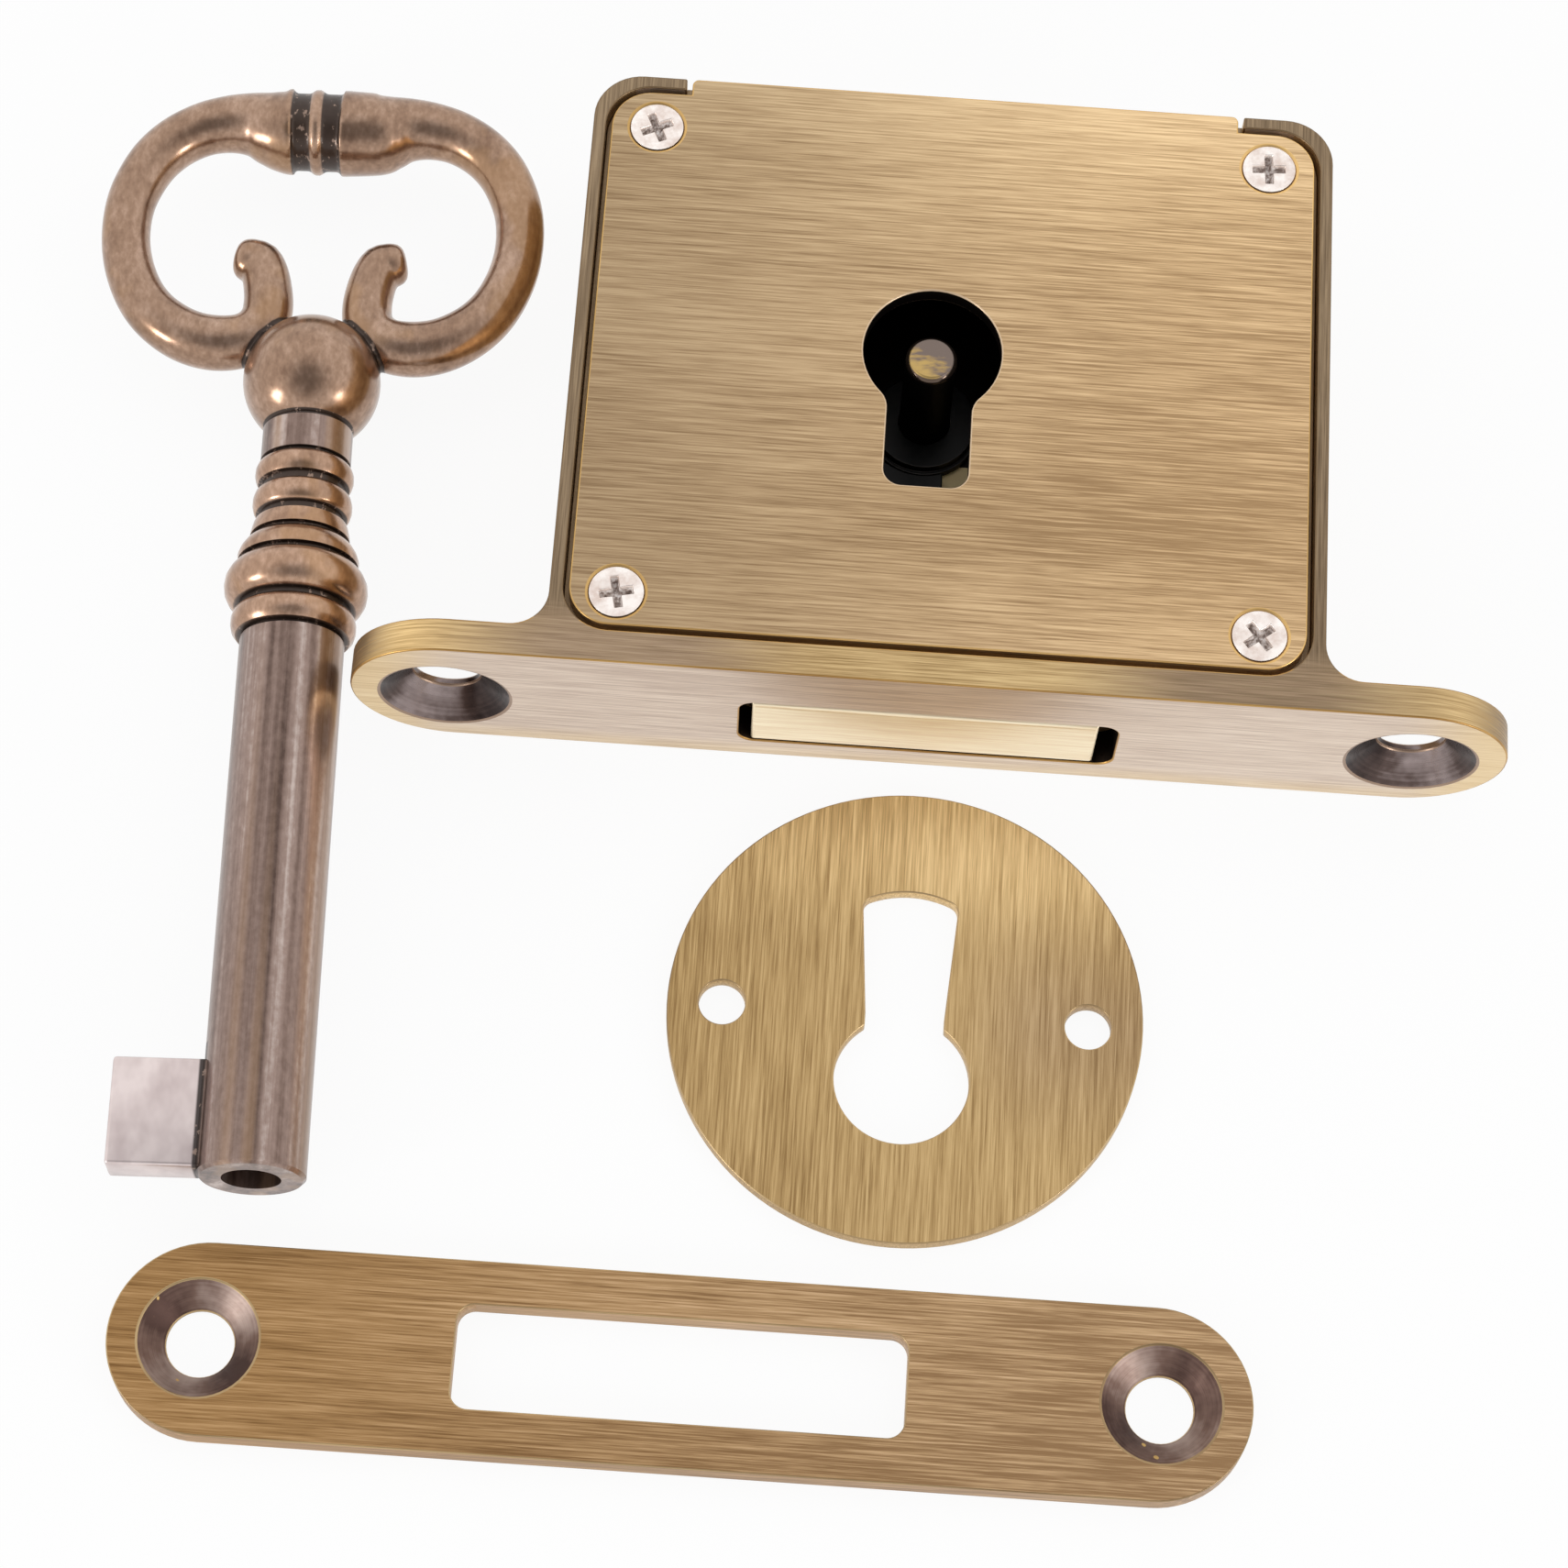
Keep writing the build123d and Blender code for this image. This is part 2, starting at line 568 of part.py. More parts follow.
for number in (1, 2):
    low = LEVER_Z + (number - 1) * (LEVER_THICK + LEVER_SPACE)
    with BuildPart() as lever:
        with BuildSketch(Plane.XY.offset(low)) as plate:
            with BuildLine():
                ThreePointArc(belly_low, belly_point((BELLY_START + BELLY_END) / 2), belly_high)
                Polyline(
                    belly_high,
                    (belly_high[0] + LEVER_EYE_R, belly_high[1] + LEVER_EYE_R),
                    eye_top,
                    (LEVER_POST_X, LEVER_POST_Y),
                    (LEVER_RIGHT_X, LEVER_POST_Y - LEVER_EYE_R),
                    (LEVER_RIGHT_X, LEVER_FRONT_Y),
                    (belly_low[0] + LEVER_EYE_R, LEVER_FRONT_Y),
                    (belly_low[0] + TAB_NOTCH, belly_low[1] - LEVER_EYE_R),
                    belly_low,
                )
            make_face()
            nose = plate.vertices().filter_by(lambda v: abs(v.Y - LEVER_FRONT_Y) < 0.01)
            fillet(nose, LEVER_THICK / 2)
            with Locations((LEVER_POST_X, LEVER_POST_Y)):
                Circle(LEVER_EYE_R)
                Circle(LEVER_POST_D / 2 + LEVER_RUN_GAP, mode=Mode.SUBTRACT)
            # Window along the stump's path, with square pockets behind and in front of the nib
            with Locations((window_start[0] + window_run[0] / 2, window_start[1] + window_run[1] / 2)):
                Rectangle(
                    hypot(*window_run),
                    2 * pocket_r,
                    rotation=degrees(atan2(window_run[1], window_run[0])),
                    mode=Mode.SUBTRACT,
                )
            for place, reach in ((window_start, 1), (window_end, -1)):
                pocket_left = place[0] - pocket_r
                pocket_y = place[1] + reach * (pocket_r - WINDOW_GAP) / 2
                with Locations(((pocket_left + pocket_right) / 2, pocket_y)):
                    Rectangle(pocket_right - pocket_left, pocket_r + WINDOW_GAP, mode=Mode.SUBTRACT)
        extrude(amount=LEVER_THICK)
    lever.part.label = f"lever_{number}"
    export_step(lever.part, f"parts/lever_{number}.step")

    # Leaf spring along the lever's back edge, which bows out to the side wall of the case
    with BuildPart() as lever_spring:
        root_x = LEVER_RIGHT_X + SEAT_GAP + SPRING_THICK / 2
        tip_x = CASE_X + WELL_HALF_X - SPRING_THICK - SEAT_GAP
        root_high_y = LEVER_POST_Y - LEVER_EYE_R - SPRING_ROOT_GAP
        root_low_y = root_high_y - SPRING_ROOT_LENGTH
        with BuildSketch(Plane.XY.offset(low + LEVER_SPACE)):
            with BuildLine():
                Line((root_x, root_high_y), (root_x, root_low_y))
                TangentArc((root_x, root_low_y), (tip_x, LEVER_FRONT_Y + SPRING_TIP_GAP), tangent=(0, -1))
            trace(line_width=SPRING_THICK)
        extrude(amount=LEVER_THICK - 2 * LEVER_SPACE)
    lever_spring.part.label = f"lever_spring_{number}"
    export_step(lever_spring.part, f"parts/lever_spring_{number}.step")


# Key, lying nearly along Y with its bit to the left
key_plane = Plane(origin=(KEY_X, KEY_TIP_Y, KEY_Z)).rotated((0, 0, KEY_TURN))
key_across = Plane(origin=key_plane.origin, x_dir=key_plane.y_dir, z_dir=key_plane.x_dir)
barrel_r = BARREL_D / 2
neck_r = NECK_D / 2
ball_r = BALL_D / 2
ball_root = sqrt(ball_r**2 - neck_r**2)
ball_y = BARREL_LENGTH + sum(ring[0] for ring in KEY_RINGS) + NECK_LENGTH + ball_root

# Outline of the turned shank from the tip up: barrel, rings with grooves between them, neck and ball
shank = [(0, 0), (barrel_r - BARREL_EDGE, 0), (barrel_r, BARREL_EDGE), (barrel_r, BARREL_LENGTH)]
ring_y = BARREL_LENGTH
for height, low_r, high_r in KEY_RINGS:
    shank.append((low_r, ring_y + RING_ROUND))
    shank.append((high_r, ring_y + height - RING_ROUND))
    ring_y += height
    shank.append((high_r - GROOVE_DEEP, ring_y))
shank[-1] = (neck_r, ring_y)
ball_low = -asin(ball_root / ball_r)
ball_high = acos(BALL_FLAT_D / 2 / ball_r)
for step in range(BALL_BANDS + 1):
    rise = ball_low + (ball_high - ball_low) * step / BALL_BANDS
    shank.append((ball_r * cos(rise), ball_y + ball_r * sin(rise)))
shank.append((0, ball_y + ball_r * sin(ball_high)))

# Left half of the bow, from the top bar round the side and under the scroll to the scroll's tip
strand_r = BOW_STRAND_D / 2
bar_r = BOW_BAR_D / 2
bar_y = ball_y + BOW_ABOVE_BALL + 2 * BOW_TURN_R + BOW_SIDE_RUN
bar_end = BOW_BEAD_HALF + BOW_GROOVE
turn_x = BOW_WIDTH / 2 - strand_r - BOW_TURN_R
low_run = turn_x - SCROLL_X - SCROLL_TURN_R
with BuildLine(key_plane) as bow_path:
    top = Line((-bar_end, bar_y), (-turn_x, bar_y))
    shoulder = JernArc(top @ 1, top % 1, BOW_TURN_R, 90)
    side = Line(shoulder @ 1, shoulder @ 1 + shoulder % 1 * BOW_SIDE_RUN)
    corner = JernArc(side @ 1, side % 1, BOW_TURN_R, 90)
    low = Line(corner @ 1, corner @ 1 + corner % 1 * low_run)
    scroll_turn = JernArc(low @ 1, low % 1, SCROLL_TURN_R, 90)
    stem = JernArc(scroll_turn @ 1, scroll_turn % 1, SCROLL_STEM_R, SCROLL_STEM_TURN)

# The strand runs in short straight lengths round each turn, with mitred joints
strand_points = [top @ 0, top @ 1]
for run, bands in ((shoulder, 4), (side, 1), (corner, 4), (low, 1), (scroll_turn, 3), (stem, 1)):
    strand_points += [run @ ((step + 1) / bands) for step in range(bands)]

with BuildPart() as bow:
    with BuildLine() as strand_line:
        Polyline(*strand_points)
    with BuildSketch(Plane(origin=strand_line.wire() @ 0, z_dir=strand_line.wire() % 0)):
        Circle(strand_r)
    sweep(path=strand_line.wire(), transition=Transition.RIGHT)

    # Round tip of the scroll
    tip_plane = Plane(origin=strand_line.wire() @ 1, z_dir=strand_line.wire() % 1)
    for swing in (0, *SCROLL_TIP_ROUND):
        with BuildSketch(tip_plane.offset(strand_r * sin(radians(swing)))):
            Circle(strand_r * cos(radians(swing)))
    loft(ruled=True)

    # Swelling of the strand towards the middle of the bar
    for place, swell_r in ((top @ 0, bar_r), (top @ 1, strand_r)):
        with BuildSketch(Plane(origin=place, z_dir=top % 0)):
            Circle(swell_r)
    loft(ruled=True)
    mirror(about=key_across)

    # Middle of the bar: a bead between two grooves
    with BuildSketch(key_across):
        with Locations((bar_y, 0)):
            Circle(bar_r - BOW_GROOVE_DEEP)
    extrude(amount=bar_end + BOW_GROOVE_DEEP, both=True)
    with BuildSketch(key_across):
        with Locations((bar_y, 0)):
            Circle(bar_r)
    extrude(amount=BOW_BEAD_HALF, both=True)

with BuildPart() as key:
    with BuildSketch(key_plane):
        with BuildLine():
            Polyline(*shank, close=True)
        make_face()
    revolve(axis=Axis(key_plane.origin, key_plane.y_dir))

    # Blank bit, flat on both sides
    with BuildSketch(key_plane.offset(-BIT_THICK / 2)) as bit:
        with Locations((-(BIT_REACH + barrel_r - BIT_EDGE_R) / 2, BIT_START + BIT_WIDTH / 2)):
            Rectangle(BIT_REACH - barrel_r + BIT_EDGE_R, BIT_WIDTH)
        fillet(bit.vertices().group_by(Axis.X)[0], BIT_EDGE_R)
    extrude(amount=BIT_THICK)

    # Bore for the drill pin
    with BuildSketch(Plane(origin=key_plane.origin, x_dir=key_plane.x_dir, z_dir=-key_plane.y_dir)):
        Circle(KEY_BORE_D / 2)
    extrude(amount=-KEY_BORE_DEPTH, mode=Mode.SUBTRACT)

    add(bow.part)

key.part.label = "key"
export_step(key.part, "parts/key.step")


# Escutcheon that goes round the keyhole on the drawer front
with BuildPart() as escutcheon:
    escutcheon_plane = Plane(origin=(ESCUTCHEON_X, ESCUTCHEON_Y, 0))
    with BuildSketch(escutcheon_plane):
        Circle(ESCUTCHEON_D / 2)
    extrude(amount=ESCUTCHEON_THICK)

    slot_corner_y = ESCUTCHEON_SLOT_TOP - ESCUTCHEON_SLOT_CROWN
    waist = ESCUTCHEON_SLOT_LOW / 2
    crown = ESCUTCHEON_SLOT_HIGH / 2
    with BuildSketch(escutcheon_plane) as escutcheon_keyhole:
        with BuildLine():
            Polyline(
                (-crown, slot_corner_y),
                (-waist, 0),
                (-waist, ESCUTCHEON_EYE_Y),
                (waist, ESCUTCHEON_EYE_Y),
                (waist, 0),
                (crown, slot_corner_y),
            )
            ThreePointArc((crown, slot_corner_y), (0, ESCUTCHEON_SLOT_TOP), (-crown, slot_corner_y))
        make_face()
        top_corners = escutcheon_keyhole.vertices().group_by(Axis.Y)[-1]
        fillet(top_corners, ESCUTCHEON_SLOT_CROWN)
        with Locations((0, ESCUTCHEON_EYE_Y)):
            Circle(ESCUTCHEON_EYE_D / 2)
    extrude(amount=ESCUTCHEON_THICK, mode=Mode.SUBTRACT)
    with BuildSketch(escutcheon_plane):
        with Locations((-ESCUTCHEON_SPACING / 2, 0), (ESCUTCHEON_SPACING / 2, 0)):
            Circle(ESCUTCHEON_HOLE_D / 2)
    extrude(amount=ESCUTCHEON_THICK, mode=Mode.SUBTRACT)

escutcheon.part.label = "escutcheon"
export_step(escutcheon.part, "parts/escutcheon.step")


# Strike plate that the bolt enters
with BuildPart() as strike_plate:
    strike_plane = Plane(origin=(STRIKE_X, STRIKE_Y, 0))
    with BuildSketch(strike_plane):
        SlotOverall(STRIKE_LENGTH, STRIKE_WIDTH)
    extrude(amount=STRIKE_THICK)
    with BuildSketch(strike_plane):
        RectangleRounded(STRIKE_SLOT_WIDTH, STRIKE_SLOT_HEIGHT, STRIKE_SLOT_R)
    extrude(amount=STRIKE_THICK, mode=Mode.SUBTRACT)
    with Locations(strike_plane.offset(STRIKE_THICK)):
        with GridLocations(STRIKE_SPACING, 1, 2, 1):
            CounterSinkHole(STRIKE_HOLE_D / 2, STRIKE_SINK_D / 2, STRIKE_THICK, STRIKE_SINK_ANGLE)

strike_plate.part.label = "strike_plate"
export_step(strike_plate.part, "parts/strike_plate.step")
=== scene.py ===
from math import cos, pi, radians, sin, sqrt

import bmesh
import bpy
import numpy as np
from mathutils import Matrix, Vector


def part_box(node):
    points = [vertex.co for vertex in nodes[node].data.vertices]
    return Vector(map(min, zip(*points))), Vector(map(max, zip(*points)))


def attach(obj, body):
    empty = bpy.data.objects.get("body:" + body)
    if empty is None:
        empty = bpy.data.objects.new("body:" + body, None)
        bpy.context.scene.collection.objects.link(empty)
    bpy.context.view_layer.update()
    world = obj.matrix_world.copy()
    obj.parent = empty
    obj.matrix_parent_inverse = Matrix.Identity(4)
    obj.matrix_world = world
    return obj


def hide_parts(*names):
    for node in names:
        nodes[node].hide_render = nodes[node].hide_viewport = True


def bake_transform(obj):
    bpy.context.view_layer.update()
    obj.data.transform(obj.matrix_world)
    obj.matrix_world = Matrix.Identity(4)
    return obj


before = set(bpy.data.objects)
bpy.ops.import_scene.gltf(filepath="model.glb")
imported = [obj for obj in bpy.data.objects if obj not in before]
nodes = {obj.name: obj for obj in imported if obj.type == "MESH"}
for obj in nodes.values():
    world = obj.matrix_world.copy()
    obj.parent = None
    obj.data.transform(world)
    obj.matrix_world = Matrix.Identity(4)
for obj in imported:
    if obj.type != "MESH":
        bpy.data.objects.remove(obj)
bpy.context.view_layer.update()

# Lengths are in millimetres unless a comment says otherwise. MM turns them into Blender's metres.
MM = 0.001
Y_AXIS, Z_AXIS = 1, 2

# Lock, in the CAD frame
CASE_X = 1.2
FRONT_Y = -22.4
FOREND_THICK = 2.1
FOREND_HOLE_HALF = 29.3
FOREND_HOLE_Z = 5.55
FOREND_HOLES = tuple((CASE_X + side * FOREND_HOLE_HALF, FRONT_Y, FOREND_HOLE_Z) for side in (-1, 1))
FOREND_SINK_R = 4.0
FLOOR_THICK = 1.8
LOCK_DEPTH = 12.0
PIN_TOP_Z = 11.1
KEYHOLE_MIDDLE = (0.0, -1.5, 0.0)
# How far the painted shade in the bolt's slot reaches past the bolt's ends, and past its sides
SLOT_ROOM = 2.2
SLOT_GAP = 0.4
# Rectangles round the keyhole and inside the case's walls, as limits in x and in y
KEYHOLE_AREA = ((-6.0, 6.0), (-12.0, 6.0))
WELL_AREA = ((-20.0, 22.0), (-19.0, 18.0))

# Strike plate and escutcheon, in the CAD frame
STRIKE_X = -10.9
STRIKE_Y = -62.2
STRIKE_THICK = 1.6
STRIKE_HOLE_HALF = 27.85
STRIKE_HOLES = tuple(
    (STRIKE_X + side * STRIKE_HOLE_HALF, STRIKE_Y, STRIKE_THICK) for side in (-1, 1)
)
STRIKE_SINK_R = 3.55
ESCUTCHEON_X = 0.94
ESCUTCHEON_Y = -39.2

# Key: its tip and its turn in the CAD frame
KEY_X = -36.44
KEY_TIP_Y = -53.38
KEY_Z = 4.4
KEY_TURN = radians(2.3)

# Camera: the lock is seen from in front of its forend and above
CAMERA_TILT = radians(23.4)
CAMERA_ROLL = radians(3.95)
CAMERA_DISTANCE = 260.0
CAMERA_TARGET = (-7.25, -24.3, 0.0)
CAMERA_LENS = 97.0
CAMERA_SENSOR = 36.0

# Lamps: places and sizes in metres, power in watts
LAMP_LEFT = (-0.56, -0.38, 0.19)
LAMP_RIGHT = (0.55, -0.38, 0.21)
LAMP_SIZE = (0.15, 0.16)
LAMP_POWER = 0.95

# World: light from all round, dimmed round one direction, by the cosine of the angle from it
WORLD_STRENGTH = 1.1
WORLD_TONES = (
    (0.66, (1.0, 1.0, 1.0, 1.0)),
    (0.84, (0.74, 0.74, 0.75, 1.0)),
    (0.97, (0.26, 0.26, 0.27, 1.0)),
)
WHITE = (1.0, 1.0, 1.0, 1.0)

# Floor: half its side in metres, how far it lies under the object, its own tone and its glow
FLOOR_HALF = 2.0
FLOOR_DROP = 0.02
FLOOR_TONE = (0.86, 0.86, 0.86, 1.0)
FLOOR_GLOW = 0.92


def linear(red, green, blue):
    """A colour written as 0 to 255 on screen, as Blender's linear colour."""
    channels = []
    for value in (red, green, blue):
        part = value / 255
        channels.append(part / 12.92 if part <= 0.04045 else ((part + 0.055) / 1.055) ** 2.4)
    return (*channels, 1.0)


def new_object(name, data):
    """An object that is linked into the scene."""
    made = bpy.data.objects.new(name, data)
    bpy.context.scene.collection.objects.link(made)
    return made


def place_camera():
    """The camera at the photograph's angle: tilted towards the forend and rolled a little."""
    forward = Vector((0, sin(CAMERA_TILT), -cos(CAMERA_TILT)))
    right = Vector((1, 0, 0))
    up = right.cross(forward)
    image_right = cos(CAMERA_ROLL) * right + sin(CAMERA_ROLL) * up
    image_up = -sin(CAMERA_ROLL) * right + cos(CAMERA_ROLL) * up
    data = bpy.data.cameras.new("camera")
    data.lens = CAMERA_LENS
    data.sensor_width = CAMERA_SENSOR
    data.clip_start = 0.01
    data.clip_end = 10.0
    camera = new_object("camera", data)
    place = Vector(CAMERA_TARGET) * MM - forward * CAMERA_DISTANCE * MM
    camera.matrix_world = Matrix.Translation(place) @ Matrix(
        (
            (image_right.x, image_up.x, -forward.x, 0),
            (image_right.y, image_up.y, -forward.y, 0),
            (image_right.z, image_up.z, -forward.z, 0),
            (0, 0, 0, 1),
        )
    )
    bpy.context.scene.camera = camera


# Node helpers
def new_material(name):
    """A material with an empty node tree, and that tree."""
    material = bpy.data.materials.new(name)
    material.use_nodes = True
    tree = material.node_tree
    tree.nodes.clear()
    return material, tree


def feed(tree, socket, value):
    """Gives a socket a number or a colour, or links another node's output to it."""
    if isinstance(value, bpy.types.NodeSocket):
        tree.links.new(value, socket)
    else:
        socket.default_value = value


def add(tree, kind, inputs=None, **settings):
    """A node with its settings and inputs."""
    node = tree.nodes.new(kind)
    for key, value in settings.items():
        setattr(node, key, value)
    for key, value in (inputs or {}).items():
        feed(tree, node.inputs[key], value)
    return node


def calc(tree, operation, *values):
    """The output of a Math node."""
    return add(tree, "ShaderNodeMath", dict(enumerate(values)), operation=operation).outputs[0]


def weighted(tree, *pairs, base=None):
    """The sum of values times their weights, plus the base."""
    total = None
    for value, weight in pairs:
        part = calc(tree, "MULTIPLY", value, weight)
        total = part if total is None else calc(tree, "ADD", total, part)
    return total if base is None else calc(tree, "ADD", total, base)


def both(tree, *masks):
    """1 where all the masks are 1."""
    result = masks[0]
    for mask in masks[1:]:
        result = calc(tree, "MULTIPLY", result, mask)
    return result


def either(tree, first, second):
    """The stronger of two masks."""
    return calc(tree, "MAXIMUM", first, second)


def opposite(tree, mask):
    """1 where the mask is 0."""
    return calc(tree, "SUBTRACT", 1.0, mask)


def fade(tree, mask, strength):
    """A mask made weaker."""
    return calc(tree, "MULTIPLY", mask, strength)


def step_up(tree, value, low, high):
    """0 below low, 1 above high and smooth between."""
    limits = {"Value": value, "From Min": low, "From Max": high, "To Min": 0.0, "To Max": 1.0}
    node = add(tree, "ShaderNodeMapRange", limits, interpolation_type="SMOOTHSTEP")
    return node.outputs["Result"]


def band(tree, value, low, high, blur):
    """1 between low and high, and 0 outside, with soft ends."""
    start = step_up(tree, value, low - blur, low + blur)
    return both(tree, start, opposite(tree, step_up(tree, value, high - blur, high + blur)))


def mix(tree, factor, first, second, blend="MIX"):
    """Two colours mixed by a factor."""
    inputs = {0: factor, 6: first, 7: second}
    return add(tree, "ShaderNodeMix", inputs, data_type="RGBA", blend_type=blend).outputs[2]


def tinted(tree, colour, tint, mask=1.0):
    """A colour multiplied by a tint where the mask is 1."""
    return mix(tree, mask, colour, tint, "MULTIPLY")


def ramp(tree, value, stops):
    """A colour ramp with stops of (place, colour)."""
    node = add(tree, "ShaderNodeValToRGB", {"Fac": value})
    elements = node.color_ramp.elements
    while len(elements) > len(stops):
        elements.remove(elements[-1])
    while len(elements) < len(stops):
        elements.new(1.0)
    for element, (place, colour) in zip(elements, stops):
        element.position = place
        element.color = colour
    return node.outputs["Color"]


def spots(tree, vector, rates, detail=2.0, roughness=0.5, offset=(0.0, 0.0, 0.0)):
    """Noise whose rates, in waves per metre, differ along x, y and z, so that it makes streaks."""
    placed = {"Vector": vector, "Scale": rates, "Location": offset}
    vector = add(tree, "ShaderNodeMapping", placed).outputs[0]
    look = {"Vector": vector, "Scale": 1.0, "Detail": detail, "Roughness": roughness}
    return add(tree, "ShaderNodeTexNoise", look).outputs["Fac"]


def even_spots(tree, vector, rate, *settings):
    """Noise with the same rate all ways."""
    return spots(tree, vector, (rate, rate, rate), *settings)


def streak_rates(across_axes, along, across):
    """Noise rates for streaks that change quickly along the named axes only."""
    return tuple(across if axis in across_axes else along for axis in "xyz")


def separate(tree, vector):
    """The x, y and z of a vector."""
    return tuple(add(tree, "ShaderNodeSeparateXYZ", {"Vector": vector}).outputs)


def object_place(tree):
    """The point on the surface in the CAD frame, as a vector and as its x, y and z in metres."""
    vector = add(tree, "ShaderNodeTexCoord").outputs["Object"]
    return vector, *separate(tree, vector)


def facing(tree, axis, sign):
    """1 where the surface faces along an axis of the object, and -1 where it faces away."""
    turned_normal = add(
        tree,
        "ShaderNodeVectorTransform",
        {"Vector": add(tree, "ShaderNodeNewGeometry").outputs["True Normal"]},
        vector_type="NORMAL",
        convert_from="WORLD",
        convert_to="OBJECT",
    )
    return calc(tree, "MULTIPLY", separate(tree, turned_normal.outputs[0])[axis], float(sign))


# Helpers that compare a coordinate, in metres, with lengths in millimetres
def rise(tree, value, low, high):
    """0 below low, 1 above high and smooth between."""
    return step_up(tree, value, low * MM, high * MM)


def span(tree, value, low, high, blur):
    """1 between low and high, and 0 outside, with soft ends."""
    return band(tree, value, low * MM, high * MM, blur * MM)


def below(tree, value, limit):
    """1 where the value is less than the limit."""
    return calc(tree, "LESS_THAN", value, limit * MM)


def above(tree, value, limit):
    """1 where the value is more than the limit."""
    return calc(tree, "GREATER_THAN", value, limit * MM)


def past(tree, value, place):
    """How far the value is past a place, in metres."""
    return calc(tree, "SUBTRACT", value, place * MM)


def within(tree, x, y, area):
    """1 inside a rectangle, which is given as its limits in x and in y."""
    x_limits, y_limits = area
    return both(tree, span(tree, x, *x_limits, MASK_BLUR), span(tree, y, *y_limits, MASK_BLUR))


def finish_metal(tree, colour, roughness, bump, bump_strength, metallic):
    """A Principled shader on the given colour, roughness and bump."""
    relief = {"Height": bump, "Strength": bump_strength, "Distance": BUMP_DEPTH * MM}
    normal = add(tree, "ShaderNodeBump", relief).outputs[0]
    look = {"Base Color": colour, "Metallic": metallic, "Roughness": roughness, "Normal": normal}
    shader = add(tree, "ShaderNodeBsdfPrincipled", look)
    add(tree, "ShaderNodeOutputMaterial", {"Surface": shader.outputs[0]})
    return shader


# Brushed metal: fine lines, a few coarser ones and soft patches, as the rate along the lines,
# the rate across them, detail, roughness and weight
BRUSH_LAYERS = (
    (170, 8200, 3.0, 0.7, 0.54),
    (60, 2600, 2.0, 0.5, 0.1),
    (16, 60, 1.0, 0.4, 0.36),
)
BRUSH_STOPS = (0.395, 0.5, 0.605)
LINE_BUMP = 0.2
LINE_ROUGHNESS = 0.16
PLATE_ROUGHNESS = 0.34
PLATE_METALLIC = 0.9
BUMP_DEPTH = 0.02
MASK_BLUR = 0.1

# How far a surface has to face one way for a mask: mostly, or squarely
MOSTLY = (0.5, 0.8)
SQUARELY = (0.85, 0.97)


def brushed_colour(tree, vector, across_axes, tones, seed):
    """Brush lines and broad tone changes as (colour, fine streaks)."""
    shift = (seed, seed * 1.7, seed * 0.6)
    layers = []
    for along, across, detail, roughness, weight in BRUSH_LAYERS:
        rates = streak_rates(across_axes, along, across)
        layers.append((spots(tree, vector, rates, detail, roughness, shift), weight))
    colour = ramp(tree, weighted(tree, *layers), list(zip(BRUSH_STOPS, tones)))
    return colour, layers[0][0]


def cover_material():
    """Cover plate: brushed across, with painted reflection lighter rightwards and rearwards, and
    painted shade in the keyhole.
    """
    material, tree = new_material("cover_bronze")
    vector, x, y, _ = object_place(tree)
    tones = (linear(156, 127, 90), linear(196, 166, 124), linear(224, 195, 150))
    colour, fine = brushed_colour(tree, vector, "yz", tones, 23.0)
    # Painted reflection: the plate is made darker on the left and lighter on the right.
    rightward = rise(tree, x, -26.0, 24.0)
    tint = mix(tree, rightward, (0.74, 0.73, 0.75, 1.0), (1.32, 1.3, 1.28, 1.0))
    colour = tinted(tree, colour, tint)
    # Painted reflection: the plate is made a little lighter and cooler towards the back.
    rearward_painted_light = rise(tree, y, -2.0, 18.0)
    tint = mix(tree, rearward_painted_light, (0.9, 0.9, 0.93, 1.0), (1.0, 1.02, 1.06, 1.0))
    colour = tinted(tree, colour, tint)
    # Painted shade: the walls inside the keyhole are made near black.
    upright = opposite(tree, step_up(tree, facing(tree, Z_AXIS, 1), *MOSTLY))
    wall = both(tree, within(tree, x, y, KEYHOLE_AREA), upright)
    colour = mix(tree, wall, colour, linear(34, 28, 24))
    roughness = weighted(tree, (fine, LINE_ROUGHNESS), base=0.32)
    finish_metal(tree, colour, roughness, fine, LINE_BUMP, PLATE_METALLIC)
    return material


def worn_edge(name, colour, dull, seed, hole_look=None, rear_colour=None):
    """Golden metal where the plating is worn through along an edge.

    hole_look gives the edges near some holes another tone, as (centres, the axis that the holes
    run along, reach, tone), and rear_colour is the tone behind the forend.
    """
    material, tree = new_material(name)
    vector, _, y, _ = object_place(tree)
    patches = spots(tree, vector, (70.0, 70.0, 300.0), 2.0, 0.5, (seed, seed, seed))
    tone = mix(tree, step_up(tree, patches, 0.35, 0.65), colour, dull)
    if rear_colour is not None:
        tone = mix(tree, above(tree, y, FRONT_Y + FOREND_THICK + 0.5), tone, rear_colour)
    if hole_look is not None:
        centres, flat_axis, reach, hole_colour = hole_look
        for centre in centres:
            near = below(tree, hole_distance(tree, vector, centre, flat_axis), reach)
            tone = mix(tree, near, tone, hole_colour)
    finish_metal(tree, tone, 0.36, patches, 0.02, PLATE_METALLIC)
    return material


# Countersinks: smooth, with fine turning rings and a few golden chips. The margin and the depth
# keep the plate's flat face out of their mask.
SINK_MARGIN = 0.02
SINK_DEPTH = 0.03
SINK_STOPS = (0.36, 0.5, 0.66)
RING_RATES = (5200.0, 1.0, 1.0)
GRAIN_RATE = 420.0
CHIP_RATE = 760.0
CHIP_LIMITS = (0.735, 0.755)


